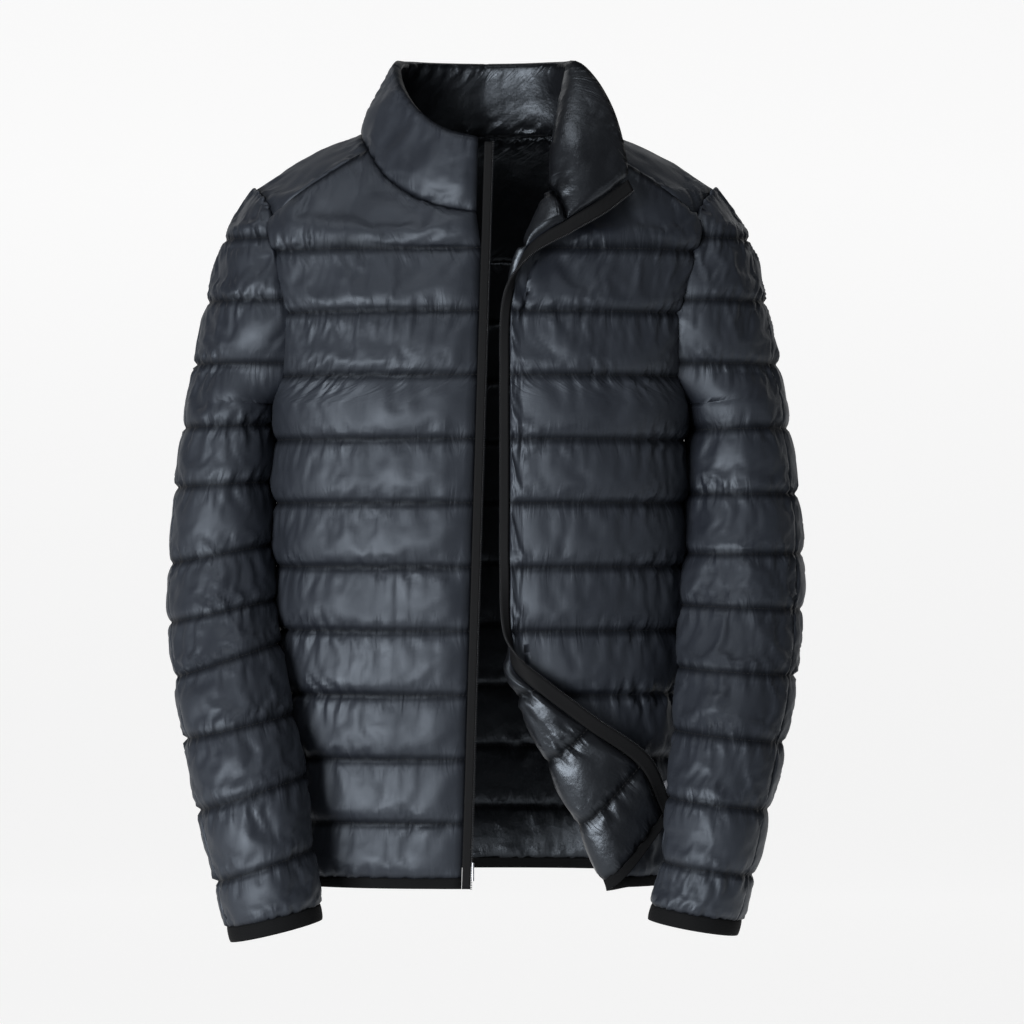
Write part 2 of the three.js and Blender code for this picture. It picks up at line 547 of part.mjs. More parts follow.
const collarFill = (s, t) => {
  const puff = fill(s > 1 ? FLAP_PUFF : COLLAR_PUFF, PANEL_WIDTH.collar)
  return puff(Math.min(s, 0.97), t * 0.999) * clamp((2 - s) / 0.3, 0, 1)
}
add('collar', wall(collar, {
  rows: [0, 0.1, 0.3, 0.5, 0.7, 0.9, 1], columns: [...even(0, 1, 30), ...turnedColumns],
  innerRows: [0, 0.25, 0.5, 0.75, 1], innerColumns: [...even(0, 1, 20), ...turnedColumns],
  lift: collarFill, drop: WALL, facing: -1,
}), SHELL)

// The fill is thin in the underarm, where the sleeve lies against the body
const sleeveFill = (s, row) => {
  const underarm = clamp(Math.abs(row - 8.7) / 1.2 + s * 2, 0.15, 1)
  return fill(SLEEVE_PUFF, PANEL_WIDTH.sleeve)(s, row) * underarm
}
for (const which of ['right', 'left']) {
  for (const [half, face] of [[-1, 'front'], [1, 'back']]) {
    add(`sleeve_${which}_${face}`, wall((s, row) => sleeve(which, half, s, row), {
      rows: channelRows(0, 12), columns: seamed(7, 0.07),
      innerRows: [...even(0, 8, 8), 8 + UNDERARM_WEB, 9, 10, 11, 12], innerColumns: even(0, 1, 5),
      lift: sleeveFill, drop: WALL, facing: (which === 'left' ? -1 : 1) * half,
    }), SHELL)
  }
}

// Hem binding: one strip along the right front, the back and the left front with its turned corner
const hemBinding = (u, row) => {
  if (u <= 1) return rightFront(1 - u, row)
  return u <= 2 ? back(u - 1, row) : leftFront(u - 2, row)
}
const cornerColumns = turnedColumns.map((column) => column + 2)
const hemRows = [-HEM_BINDING / HEM_ROW, -0.1, -SEAM_GAP * 2 / HEM_ROW]
add('hem_binding', wall(hemBinding, {
  rows: hemRows,
  columns: [...even(0, 1, 9), ...even(1, 2, 18).slice(1), ...even(2, 3, 9).slice(1), ...cornerColumns],
  innerRows: [hemRows[0], hemRows[2]], innerColumns: [...even(0, 3, 24), ...cornerColumns],
  lift: flat(BINDING_WALL - WALL), drop: WALL, facing: -1,
}), BINDING)

// Cuff bindings: elastic rings on the ends of the sleeves
function cuff(which, s, t) {
  const around = s * Math.PI * 2
  const ring = (row) => {
    const front = around % (Math.PI * 2) > Math.PI ? 1 : -1
    const side = which === 'left' ? 1 : -1
    const at = (column) => tableAt(SLEEVE[which].slice(0, 9), 'row', column, row)
    const [outX, inX] = [side * (at('outX') - SLEEVE_PUFF), side * (at('inX'))]
    const share = (1 - Math.cos(around)) / 2
    const depth = Math.abs(Math.sin(around)) * (at('deep') - SLEEVE_PUFF / 2)
    return vec(lerp(outX, inX, share), at('y') + front * depth, lerp(at('outZ'), at('inZ'), share))
  }
  const here = ring(0)
  const along = here.clone().sub(ring(0.5)).normalize()
  return here.addScaledVector(along, SEAM_GAP + t * CUFF_BINDING)
}
for (const which of ['right', 'left']) {
  add(`cuff_binding_${which}`, wall((s, t) => cuff(which, s, 1 - t), {
    rows: [0, 0.5, 1], columns: even(0, 1, 24), innerRows: [0, 1], innerColumns: even(0, 1, 12),
    lift: flat(BINDING_WALL - WALL), drop: WALL, closed: true, facing: which === 'left' ? -1 : 1,
  }), BINDING)
}

// Zip tape on the wearer's right, from the hem to the collar rim
const FRONT_LINE = [
  { z: -116, y: -100 },
  { z: -84, y: -93 },
  { z: -22, y: -86 },
]
const ZIP_LOW = HEM - HEM_BINDING
function rightTape(s, z) {
  const x = rightEdgeX(z) - TAPE * (1 - s)
  if (z > FIRST_LINE) return vec(x, tableAt(FRONT_LINE, 'z', 'y', z), z)
  return vec(x, bodyPoint(turnAt(x - tableAt(BODY, 'z', 'shift', z), z), z).y, z)
}
add('zip_tape_right', wall(rightTape, {
  rows: [...even(ZIP_LOW, FIRST_LINE, 14), -84, -54, -22], columns: [0, 0.5, 1],
  innerRows: [...even(ZIP_LOW, FIRST_LINE, 7), -84, -22], innerColumns: [0, 1],
  lift: flat(TAPE_WALL / 2), drop: TAPE_WALL / 2, facing: 1,
}), ZIP_TAPE)

// Zip tape on the wearer's left, which follows both turned-back corners
const leftTape = (s, t) => {
  const across = 2 + Math.max(s, 1e-6)
  return t <= 11 ? leftFront(across, t) : collar(across, t - 11)
}
const leftTapeRows = [hemRows[0], ...channelRows(0, 12)]
add('zip_tape_left', wall(leftTape, {
  rows: leftTapeRows, columns: [0, 0.5, 1], innerRows: leftTapeRows, innerColumns: [0, 1],
  lift: flat(TAPE_WALL / 2), drop: TAPE_WALL / 2, facing: -1,
}), ZIP_TAPE)

// Zip ends: the insertion pin on the right tape, the box with its slider on the left one
const PIN = { radius: 1.3, length: 16, z: -662 }
const pin = new THREE.CylinderGeometry(PIN.radius, PIN.radius, PIN.length, 10).rotateX(Math.PI / 2)
const pinX = rightEdgeX(PIN.z) + PIN.radius + 0.3
pin.translate(pinX, rightTape(1, PIN.z).y, PIN.z)
add('zip_pin', pin, ZIP_METAL)

const BOX = { wide: 6, thick: 4, long: 9 }
const SLIDER = { wide: 8, thick: 6, long: 10 }
function beside(part, row) {
  const edge = leftTape(1, row)
  const out = edge.clone().sub(leftTape(0.5, row)).normalize()
  const along = leftTape(1, row + 0.1).sub(leftTape(1, row - 0.1)).normalize()
  out.addScaledVector(along, -out.dot(along)).normalize()
  const frame = new THREE.Matrix4().makeBasis(out, along.clone().cross(out), along)
  const place = edge.addScaledVector(out, part.wide / 2 + 0.5)
  return new THREE.BoxGeometry(part.wide, part.thick, part.long).applyMatrix4(frame.setPosition(place))
}
add('zip_box', beside(BOX, 0), ZIP_METAL)
add('zip_slider', beside(SLIDER, 0.3), ZIP_METAL)

export default jacket
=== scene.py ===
"""The Blender side of the jacket: quilted panels blown out by cloth simulation, bindings, zip, stitches, stage.

It's laid out as a Blender add-on. Sizes and colours are properties of the scene, each piece or group of pieces
has its own operator, and main() calls the operators in order.
"""

import bpy
import numpy as np
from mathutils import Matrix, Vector


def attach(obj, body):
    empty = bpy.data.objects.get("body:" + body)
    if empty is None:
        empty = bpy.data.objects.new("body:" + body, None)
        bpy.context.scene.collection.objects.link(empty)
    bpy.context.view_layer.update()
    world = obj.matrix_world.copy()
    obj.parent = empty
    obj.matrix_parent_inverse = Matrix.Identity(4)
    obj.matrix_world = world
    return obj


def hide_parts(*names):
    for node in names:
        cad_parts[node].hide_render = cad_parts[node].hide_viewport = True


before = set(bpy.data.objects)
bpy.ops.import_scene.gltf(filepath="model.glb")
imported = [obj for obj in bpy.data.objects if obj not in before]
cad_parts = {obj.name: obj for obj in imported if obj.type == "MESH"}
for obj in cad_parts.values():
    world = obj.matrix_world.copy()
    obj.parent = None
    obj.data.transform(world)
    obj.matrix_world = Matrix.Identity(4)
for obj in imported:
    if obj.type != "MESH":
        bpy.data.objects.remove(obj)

bl_info = {
    "name": "Puffer jacket",
    "version": (1, 0, 0),
    "blender": (4, 5, 0),
    "location": "View3D > Sidebar > Jacket",
    "description": "Builds a down jacket, worn open, on its CAD frame",
    "category": "Object",
}

MM = 0.001

# Sizes of the solids, in millimetres, the same as in the part's source
WALL = 2.2
SEAM_GAP = 0.4
YOKE_GAP = -0.8
YOKE_INSET = -0.6
CHANNEL = 56
CHANNELS = 10
FIRST_LINE = -116
HEM = -669
HEM_ROW = FIRST_LINE - CHANNEL * 9 - HEM
HEM_BINDING = 8
CUFF_BINDING = 12
BINDING_LAP = 1.6
CUFF_LAP = 1.16
TAPE = 7.5
TAPE_INSIDE = 12.5
CORNER = 2.7
YOKE_TURN = 72
UNDERARM = -250
SLEEVE_PUFF = 4.5
ARMHOLE_CORNER = -80
UNDERARM_WEB = 0.3
SLEEVE_GAP = -1.5
SLEEVE_LEAN = 6.5
TOP_GAP = -0.015
LAPEL_SWELL = 13
LEFT_NECK_TURN = 46
OUTER_SEAM = {"right": 20, "left": 32}
# How far a binding stands out, reaches behind the cloth and is crowned, and its cut per width that shows
BINDING_OUT, BINDING_IN, BINDING_CROWN = 1.3, WALL + 0.9, 0.8
TAPE_HALF = 1.2
# Widths of the quilted pieces along the cloth, for the spacing of their grids
WIDTH = {"front_right": 232, "front_left": 215, "strip": 105, "back": 500, "yoke": 560, "collar": 430, "sleeve": 165}
YOKE_RISE = 76
COLLAR_RISE = 84
STITCHED = (
    "front_right", "front_left", "back", "sleeve_right_front", "sleeve_right_back", "sleeve_left_front",
    "sleeve_left_back")


def table(names, *rows):
    """A short table with named columns, whose first column is its key."""
    names = names.split()
    return {"key": names[0], **{name: np.array([row[i] for row in rows], float) for i, name in enumerate(names)}}


# Body sections, level by level: half width, depth to the front and back, sideways shift
BODY = table(
    "z half front back shift",
    (-690, 184, 122, 114, -4),
    (-560, 184, 124, 117, -4),
    (-400, 183, 124, 119, -4),
    (-256, 183, 123, 121, -4),
    (-185, 187, 116, 123, -2),
    (-116, 199, 100, 117, 0),
    (-60, 214, 86, 100, 0),
)
# Armhole: distance from the middle, then its front and back edge above the first line
ARMHOLE = table("z x", (-250, 183), (-228, 175), (-185, 171), (-150, 176), (-116, 186))
ARMHOLE_TOP = table(
    "z x front back", (-116, 186, -49, 60), (-86, 190, -38, 50), (-68, 199, -18, 30), (-58, 206, 4, 5)
)
# Neck seam and collar rim, by degrees from the front
NECK = table(
    "turn x y z rim_x rim_y rim_z",
    (0, 0, -93, -85, 0, -86, -22),
    (18, 34, -89, -80, 27, -79, -16),
    (36, 64, -77, -68, 46, -67, -6),
    (54, 88, -57, -49, 63, -49, 11),
    (72, 103, -31, -25, 75, -24, 32),
    (90, 110, 2, -8, 79, 8, 52),
    (120, 94, 41, -4, 68, 40, 57),
    (150, 55, 67, -4, 39, 59, 58),
    (180, 0, 76, -4, 0, 66, 58),
)
# Yoke seam on the front of the shoulder, from the neck (0) to the armhole (1)
YOKE_SEAM = table("at x y z", (0, 103, -31, -25), (0.3, 129, -42, -40), (0.7, 167, -47, -66), (1, 190, -38, -86))
# Turned-back edge of the wearer's left front, by row from the hem (0) to the neck (11):
# outermost point of the fold, the jacket's edge, and the radius of the fold
LEFT_EDGE = table(
    "row fold_x fold_y fold_z edge_x edge_y edge_z radius",
    (-0.23, 110, -130, -680, 169, -115, -611, 9),
    (0, 107, -130, -669, 163, -116, -602, 9),
    (1, 85, -133, -620, 143, -129, -560, 9),
    (2, 58, -134, -564, 98, -140, -527, 9),
    (3, 33, -134, -508, 53, -143, -493, 8),
    (3.5, 24, -131, -480, 30, -141, -474, 5),
    (4, 26, -126, -452, 17, -135, -452, 0),
    (5, 27, -124, -396, 14, -124, -396, 0),
    (6, 27, -124, -340, 14, -124, -340, 0),
    (7, 27, -123, -284, 14, -123, -284, 0),
    (8, 27, -121, -228, 14, -121, -228, 0),
    (9, 28, -116, -172, 15, -120, -172, 0),
    (9.5, 27, -113, -144, 22, -124, -146, 3),
    (10, 37, -110, -116, 41, -125, -124, 6),
    (10.5, 50, -100, -92, 58, -122, -113, 8),
    (11, 60, -87, -64, 76, -118, -104, 9),
)
# The collar's turned-back end, from the neck seam (0) to the rim (1), and where it starts
COLLAR_EDGE = table(
    "up fold_x fold_y fold_z edge_x edge_y edge_z radius turn",
    (0, 60, -87, -64, 76, -118, -104, 9, 44),
    (0.5, 64, -70, -8, 106, -107, -86, 9, 60),
    (1, 74, -22, 50, 131, -92, -66, 8, 88),
)
# Sleeves: quilt lines from the cuff (0) to the underarm (8), then the sleeve head (9 to 12)
SLEEVE_OUTER = {
    "right": table(
        "row x z",
        (0, 226, -708), (1, 235, -668), (2, 251, -607), (3, 264, -546), (4, 275, -493), (5, 282, -446), (6, 283, -394),
        (7, 279, -326), (8, 273, -273), (9, 263, -216), (10, 252, -160), (11, 237, -104), (12, 210, -59),
    ),
    "left": table(
        "row x z",
        (0, 226, -701), (1, 236, -661), (2, 250, -605), (3, 264, -548), (4, 276, -491), (5, 284, -434), (6, 286, -385),
        (7, 282, -332), (8, 275, -273), (9, 266, -216), (10, 255, -160), (11, 240, -104), (12, 210, -59),
    ),
}
SLEEVE_INNER = {
    "right": table(
        "row x z y deep",
        (0, 143, -689, -146, 44), (1, 151, -641, -142, 47), (2, 161, -578, -130, 50), (3, 175, -525, -108, 52),
        (4, 189, -464, -80, 54), (5, 194, -426, -54, 56), (6, 197, -377, -30, 58), (7, 196, -321, -16, 60),
        (8, 191, -270, -6, 62),
    ),
    "left": table(
        "row x z y deep",
        (0, 146, -688, -158, 45), (1, 156, -650, -155, 48), (2, 164, -595, -146, 51), (3, 173, -538, -126, 54),
        (4, 178, -484, -92, 56), (5, 181, -430, -56, 58), (6, 184, -385, -34, 60), (7, 185, -332, -16, 62),
        (8, 186, -275, -6, 63),
    ),
}
SLEEVE_HEAD = table("row deep", (8, 59), (9, 55), (10, 50), (11, 40), (12, 30))
FRONT_LINE = table("z y", (-116, -100), (-84, -93), (-22, -86))


def at(rows, column, place):
    """Value of a column at a place along the table's key, on a smooth curve through its rows."""
    key, values = rows[rows["key"]], rows[column]
    place = np.asarray(place, float)
    i = np.clip(np.searchsorted(key, place, side="left") - 1, 0, len(key) - 2)
    span = key[i + 1] - key[i]
    t = np.clip((place - key[i]) / span, 0, 1)
    low, high = np.maximum(np.arange(len(key)) - 1, 0), np.minimum(np.arange(len(key)) + 1, len(key) - 1)
    slope = (values[high] - values[low]) / (key[high] - key[low])
    t2, t3 = t * t, t * t * t
    rise = (2 * t3 - 3 * t2 + 1) * values[i] + (t3 - 2 * t2 + t) * span * slope[i]
    return rise + (3 * t2 - 2 * t3) * values[i + 1] + (t3 - t2) * span * slope[i + 1]


def stack(x, y, z):
    return np.stack(np.broadcast_arrays(x, y, z), axis=-1).astype(float)


def mix(a, b, share):
    share = np.asarray(share, float)
    return a + (b - a) * (share[..., None] if np.ndim(a) > np.ndim(share) or np.ndim(b) > np.ndim(share) else share)


def body_point(turn, z):
    """Body surface at seam level: turn runs from 0 at the front to 180 at the back."""
    s, c = np.sin(np.radians(turn)), np.cos(np.radians(turn))
    depth = np.where(c > 0, -at(BODY, "front", z), at(BODY, "back", z))
    power = 2 / CORNER
    x = at(BODY, "shift", z) + np.sign(s) * at(BODY, "half", z) * np.abs(s) ** power
    return stack(x, depth * np.abs(c) ** power, z)


def turn_at(distance, z):
    share = np.clip(distance / at(BODY, "half", z), -1, 1)
    return np.sign(share) * np.degrees(np.arcsin(np.abs(share) ** (CORNER / 2)))


def height_of(row):
    row = np.asarray(row, float)
    return np.where(row < 1, HEM + HEM_ROW * row, FIRST_LINE - CHANNEL * (CHANNELS - row))


def armhole_turn(z):
    return np.where(z <= UNDERARM, 90, turn_at(np.where(z <= UNDERARM, 1e3, at(ARMHOLE, "x", z)), z))


def armhole_point(side, z, behind):
    """Point of the armhole at a height, on its front half or its back half."""
    z = np.asarray(z, float)
    turn = armhole_turn(z)
    low = body_point(180 - turn if behind else turn, z)
    shift = at(BODY, "shift", z)
    low = stack(shift + side * (low[..., 0] - shift), low[..., 1], z)
    high = stack(side * at(ARMHOLE_TOP, "x", z), at(ARMHOLE_TOP, "back" if behind else "front", z), z)
    return np.where((z < FIRST_LINE)[..., None], low, high)


def neck_point(turn, up=0.0):
    turn = np.asarray(turn, float)
    around = np.minimum(np.abs(turn), 360 - np.abs(turn))
    side = np.where((turn < 0) | (turn > 180), -1, 1)
    seam = stack(side * at(NECK, "x", around), at(NECK, "y", around), at(NECK, "z", around))
    rim = stack(side * at(NECK, "rim_x", around), at(NECK, "rim_y", around), at(NECK, "rim_z", around))
    return mix(seam, rim, up)


def yoke_seam(side, place):
    return stack(side * at(YOKE_SEAM, "x", place), at(YOKE_SEAM, "y", place), at(YOKE_SEAM, "z", place))


def right_edge_x(z):
    return 5 + 0.03 * (z + 110)


def front_row(side, row, s, end_x, end_turn):
    """A front, from the side (0) to where its main cloth ends (1)."""
    low_row = np.minimum(row, CHANNELS)
    z = height_of(low_row)
    shift = at(BODY, "shift", z)
    turn = mix(armhole_turn(z) - 0.12, turn_at(side * (end_x - shift), z), s)
    point = body_point(turn, z)
    low = stack(shift + side * (point[..., 0] - shift), point[..., 1], z)
    bend = 0.52
    neck_share = np.clip((s - bend) / (1 - bend), 0, 1)
    at_yoke = yoke_seam(side, 1 - np.clip(s / bend, 0, 1))
    at_neck = neck_point(side * (YOKE_TURN + (end_turn - YOKE_TURN) * neck_share))
    top = np.where((s < bend)[..., None], at_yoke, at_neck)
    v = np.clip(row - CHANNELS, 0, 1) * (1 - TOP_GAP)
    swell = np.sin(np.pi * v) * 5
    return mix(low, top, v) + stack(side * swell * 0.3 * (1 - s), -swell, 0)


def right_front(s, row):
    z = height_of(np.minimum(row, CHANNELS))
    return front_row(-1, row, s, right_edge_x(z) - TAPE - SEAM_GAP, 3.8)


def spline(points, count):
    """Centripetal curve through five points a row, from its second point to its last."""
    before = 2 * points[:, :1] - points[:, 1:2]
    after = 2 * points[:, -1:] - points[:, -2:-1]
    knots = np.concatenate([before, points, after], axis=1)
    places = np.linspace(1, points.shape[1] - 1, count)
    i = np.minimum(places.astype(int), points.shape[1] - 2)
    t = (places - i)[None, :, None]
    p = [knots[:, i + k] for k in range(4)]
    gaps = [np.maximum(((p[k + 1] - p[k]) ** 2).sum(-1, keepdims=True), 1e-9) ** 0.25 for k in range(3)]
    d0, d1, d2 = gaps
    near = ((p[1] - p[0]) / d0 - (p[2] - p[0]) / (d0 + d1) + (p[2] - p[1]) / d1) * d1
    far = ((p[2] - p[1]) / d1 - (p[3] - p[1]) / (d1 + d2) + (p[3] - p[2]) / d2) * d1
    c2, c3 = -3 * p[1] + 3 * p[2] - 2 * near - far, 2 * p[1] - 2 * p[2] + near + far
    return p[1] + near * t + c2 * t * t + c3 * t * t * t


def turned_run(rows, place, start, before):
    """The turned part of each row as a run of points, from the main cloth to the jacket's edge."""
    radius = at(rows, "radius", place)[:, None]
    fold = stack(at(rows, "fold_x", place), at(rows, "fold_y", place), at(rows, "fold_z", place))
    edge = stack(at(rows, "edge_x", place), at(rows, "edge_y", place), at(rows, "edge_z", place))
    inward = (edge - fold) / np.linalg.norm(edge - fold, axis=-1, keepdims=True)
    turned = fold + inward * (radius + 2) + radius * np.array([[0.4, -0.75, 0]])
    middle = mix(mix(fold, edge, np.full(len(fold), 0.4)), turned, np.clip(radius[:, 0] / 5, 0, 1))
    return spline(np.stack([before, start, fold, middle, edge], axis=1), 61)


def tape_width(radius):
    return TAPE + (TAPE_INSIDE - TAPE) * np.clip(radius / 6, 0, 1)


def run_point(run, share, tape):
    """Points of runs at a share of the cloth (0 to 1), or of the zip tape beyond it (1 to 2)."""
    steps = np.linalg.norm(np.diff(run, axis=1), axis=-1)
    lengths = np.concatenate([np.zeros((len(run), 1)), steps.cumsum(1)], axis=1)
    total = lengths[:, -1:]
    tape = np.reshape(tape, (-1, 1))
    wanted = np.where(share <= 1, (total - tape - SEAM_GAP * 3) * share, total - tape + tape * (share - 1))
    out = np.empty(wanted.shape + (3,))
    for i in range(len(run)):
        for axis in range(3):
            out[i, :, axis] = np.interp(wanted[i], lengths[i], run[i, :, axis])
    return out


def left_main(share, row):
    low_row = np.minimum(row, CHANNELS)
    end_x = at(LEFT_EDGE, "fold_x", low_row) + np.maximum(at(LEFT_EDGE, "radius", low_row), 0) + 8
    return front_row(1, row, share, end_x, LEFT_NECK_TURN)


def left_front(s, row):
    """0 to 1 is the main cloth, 1 to 2 the strip that is turned back, and 2 to 3 its zip tape."""
    out = left_main(np.clip(s, 0, 1), row)
    rows = row[:, 0]
    one = np.ones(len(rows))
    place = np.where(rows > CHANNELS, CHANNELS + (rows - CHANNELS) * 0.96, rows)
    run = turned_run(LEFT_EDGE, place, left_main(one, rows), left_main(one * 0.9, rows))
    tape = tape_width(at(LEFT_EDGE, "radius", np.minimum(rows, CHANNELS)))
    return np.where((s > 1)[..., None], run_point(run, s - 1, tape), out)


def back(s, row):
    z = height_of(row)
    shift = at(BODY, "shift", z)
    side = armhole_turn(z) - 0.12
    turn = 180 - side * (2 * s - 1)
    point = body_point(np.where(np.abs(turn) > 180, 360 - turn, turn), z)
    x = shift + np.where(s < 0.5, -1, 1) * np.abs(point[..., 0] - shift)
    return stack(x, point[..., 1], z)


def yoke_outer(s):
    side = np.where(s < 0.5, -1, 1)
    q = np.minimum(s, 1 - s)
    z_front = -86 + 28 * np.sin(np.pi / 2 * np.clip(q / 0.15, 0, 1))
    z_back = -58 + (FIRST_LINE + YOKE_GAP + 58) * (1 - np.cos(np.pi / 2 * np.clip((q - 0.15) / 0.15, 0, 1)))
    front = armhole_point(side, z_front, False) + stack(-side * YOKE_INSET, 0, 0)
    behind = armhole_point(side, z_back, True) + stack(-side * YOKE_INSET, 0, 0)
    low = back(np.clip((s - 0.3) / 0.4, 0, 1), np.full(s.shape, float(CHANNELS))) + stack(0, 0, YOKE_GAP)
    return np.where((q < 0.15)[..., None], front, np.where((q < 0.3)[..., None], behind, low))


def yoke(s, t):
    neck_turn = -YOKE_TURN + (-360 + 2 * YOKE_TURN) * s
    inner = neck_point(np.where(neck_turn < -180, 360 + neck_turn, neck_turn))
    v = t * (1 - TOP_GAP / 2)
    seam = yoke_seam(np.where(s < 0.5, -1, 1), 1 - t)
    near = np.maximum(0, 1 - np.minimum(s, 1 - s) / 0.12)
    behind = np.clip((0.5 - np.abs(s - 0.5)) * 4 - 0.6, 0, 1)
    along = mix(mix(yoke_outer(s), inner, v), seam, near * near)
    crown = np.sin(np.pi * v)
    return along + stack(0, 6 * behind * crown, 5 * (1 - near) * crown)


def collar_main(share, up):
    turn = -3.8 + (-360 + at(COLLAR_EDGE, "turn", up) + 3.8) * share
    turn = np.where(turn < -180, 360 + turn, turn)
    lean = np.sign(np.abs(turn) - 90) * np.sin(np.pi * up) * 2
    return neck_point(turn, TOP_GAP + (1 - TOP_GAP) * up) + stack(0, lean, 0)


def collar(s, up):
    """From the right front end (0) round the back to the left fold (1), then turned (1 to 2), then its tape."""
    rows = up[:, 0]
    one = np.ones(len(rows))
    run = turned_run(COLLAR_EDGE, rows, collar_main(one, rows), collar_main(one * 0.97, rows))
    bulge = np.sin(np.pi * np.clip(s - 1, 0, 1)) * up * LAPEL_SWELL
    turned = run_point(run, s - 1, TAPE_INSIDE) + stack(bulge, -bulge * 0.3, SEAM_GAP * 1.5 * (1 - up))
    return np.where((s > 1)[..., None], turned, collar_main(np.clip(s, 0, 1), up))


def sleeve_half(which, half, row):
    side = 1 if which == "left" else -1
    inset = SLEEVE_PUFF * np.clip(12 - row, 0, 1)
    out_x = side * (at(SLEEVE_OUTER[which], "x", row) - inset)
    out_z = at(SLEEVE_OUTER[which], "z", row)
    ring = SLEEVE_INNER[which]
    low = np.minimum(row, 8)
    middle = np.where(row > 8, at(ring, "y", low) + (4 - at(ring, "y", low)) * (row - 8) / 4, at(ring, "y", low))
    # The filled sleeve leans on the body between the elbow and the underarm
    lean = SLEEVE_LEAN * np.sin(np.pi * np.clip((low - 1.5) / 7, 0, 1)) ** 0.5
    start = stack(side * (at(ring, "x", low) - lean), middle, at(ring, "z", low))
    deep = at(ring, "deep", low) - SLEEVE_PUFF / 2
    high = np.where(row > 11, out_z + (ARMHOLE_CORNER - out_z) * (row - 11), out_z)
    hole = armhole_point(side, np.maximum(high, UNDERARM), half > 0) + stack(side * SLEEVE_GAP, 0, 0)
    start = np.where((row > 8)[..., None], mix(start, hole, np.clip((row - 8) / UNDERARM_WEB, 0, 1)), start)
    head = np.maximum(at(SLEEVE_HEAD, "deep", row), np.abs(start[..., 1] - middle) * 1.03)
    deep = np.where(row > 8, head, deep)
    origin = np.pi - np.arcsin(np.clip(np.abs(start[..., 1] - middle) / deep, 0, 1))
    return start, out_x, out_z, middle, deep, np.minimum(origin, np.pi - 0.012)


def ellipse_point(part, half, angle):
    start, out_x, out_z, middle, deep, origin = part
    across = (out_x - start[..., 0]) / (1 - np.cos(origin))
    x = out_x - across * (1 - np.cos(angle))
    share = np.clip((x - start[..., 0]) / (out_x - start[..., 0]), 0, 1)
    return stack(x, middle + half * deep * np.sin(angle), start[..., 2] + (out_z - start[..., 2]) * share)


def sleeve(which, half, s, row):
    """One sleeve panel: s runs from the inner seam or the armhole (0) to the outer seam (1)."""
    seam = np.radians(OUTER_SEAM[which] * np.clip((12 - row) / 4, 0, 1))
    front = sleeve_half(which, -1, row)
    if half < 0:
        point = ellipse_point(front, -1, front[-1] + (seam - front[-1]) * s)
    else:
        behind = sleeve_half(which, 1, row)
        angle = behind[-1] + (-seam - behind[-1]) * s
        on_back = ellipse_point(behind, 1, np.maximum(angle, 0))
        point = np.where((angle > 0)[..., None], on_back, ellipse_point(front, -1, np.maximum(-angle, 0)))
    # The top of the head is sewn to the yoke along the armhole
    side = 1 if which == "left" else -1
    sewn = armhole_point(side, ARMHOLE_CORNER + (-58 - ARMHOLE_CORNER) * np.sin(np.pi / 2 * s), half > 0)
    share = np.clip((row - 11.2) / 0.8, 0, 1)
    return mix(point, sewn, share * share * (3 - 2 * share))


def cuff(which, s, t):
    """The cuff's ring, from the sleeve's end (0) to the binding's lower edge (1)."""
    around = s * np.pi * 2
    side = 1 if which == "left" else -1
    forward = np.where(np.mod(around, np.pi * 2) > np.pi, 1, -1)
    share = (1 - np.cos(around)) / 2

    def ring(row):
        row = np.full(around.shape, float(row))
        out_x = side * (at(SLEEVE_OUTER[which], "x", row) - SLEEVE_PUFF)
        in_x = side * (at(SLEEVE_INNER[which], "x", row))
        deep = at(SLEEVE_INNER[which], "deep", row) - SLEEVE_PUFF / 2
        y = at(SLEEVE_INNER[which], "y", row) + forward * np.abs(np.sin(around)) * deep
        low, high = at(SLEEVE_OUTER[which], "z", row), at(SLEEVE_INNER[which], "z", row)
        return stack(out_x + (in_x - out_x) * share, y, low + (high - low) * share)

    along = ring(0) - ring(0.5)
    along /= np.linalg.norm(along, axis=-1, keepdims=True)
    return ring(0) + along * (SEAM_GAP + np.asarray(t) * CUFF_BINDING)[..., None]


def right_tape(s, z):
    x = right_edge_x(z) - TAPE * (1 - s)
    low = body_point(turn_at(x - at(BODY, "shift", z), z), z)[..., 1]
    return stack(x, np.where(z > FIRST_LINE, at(FRONT_LINE, "y", z), low), z)


def left_tape(s, t):
    """Up to 11 it runs along the front, and from 11 to 12 along the collar."""
    s = 2 + np.maximum(s, 1e-6)
    low, high = t[:, 0] <= 11, t[:, 0] > 11
    return np.concatenate([left_front(s[low], t[low]), collar(s[high], t[high] - 11)])


def even(first, last, count):
    return np.linspace(first, last, count + 1)


def lattice(surface, columns, rows, facing):
    """Points and outward normals of a surface on a grid: arrays of rows by columns by 3, in metres."""
    s, t = np.meshgrid(np.asarray(columns, float), np.asarray(rows, float))
    points = surface(s, t) * MM
    across = np.gradient(points, axis=1)
    up = np.gradient(points, axis=0)
    normal = np.cross(across, up)
    normal /= np.maximum(np.linalg.norm(normal, axis=-1, keepdims=True), 1e-12)
    return points, normal * facing


def smooth_noise(points, size, seed, octaves=3):
    """Even-tempered noise of about -1 to 1 at points, from sine waves in fixed directions."""
    rng = np.random.default_rng(seed)
    total, weight = np.zeros(points.shape[:-1]), 0.0
    for octave in range(octaves):
        for _ in range(7):
            way = rng.normal(size=3)
            way *= 2 * np.pi / (size * MM * 0.5**octave) / np.linalg.norm(way) * rng.uniform(0.6, 1.4)
            total += np.sin(points @ way + rng.uniform(0, 6.28)) * 0.5**octave
        weight += 0.5**octave
    return total / (weight * 2.2)


def grid_faces(rows, columns, closed=False):
    """Quads of a grid of points, as rows of four indices."""
    i, j = np.meshgrid(np.arange(columns if closed else columns - 1), np.arange(rows - 1))
    a, b = (j * columns + i).ravel(), (j * columns + (i + 1) % columns).ravel()
    return np.stack([a, b, b + columns, a + columns], axis=1)


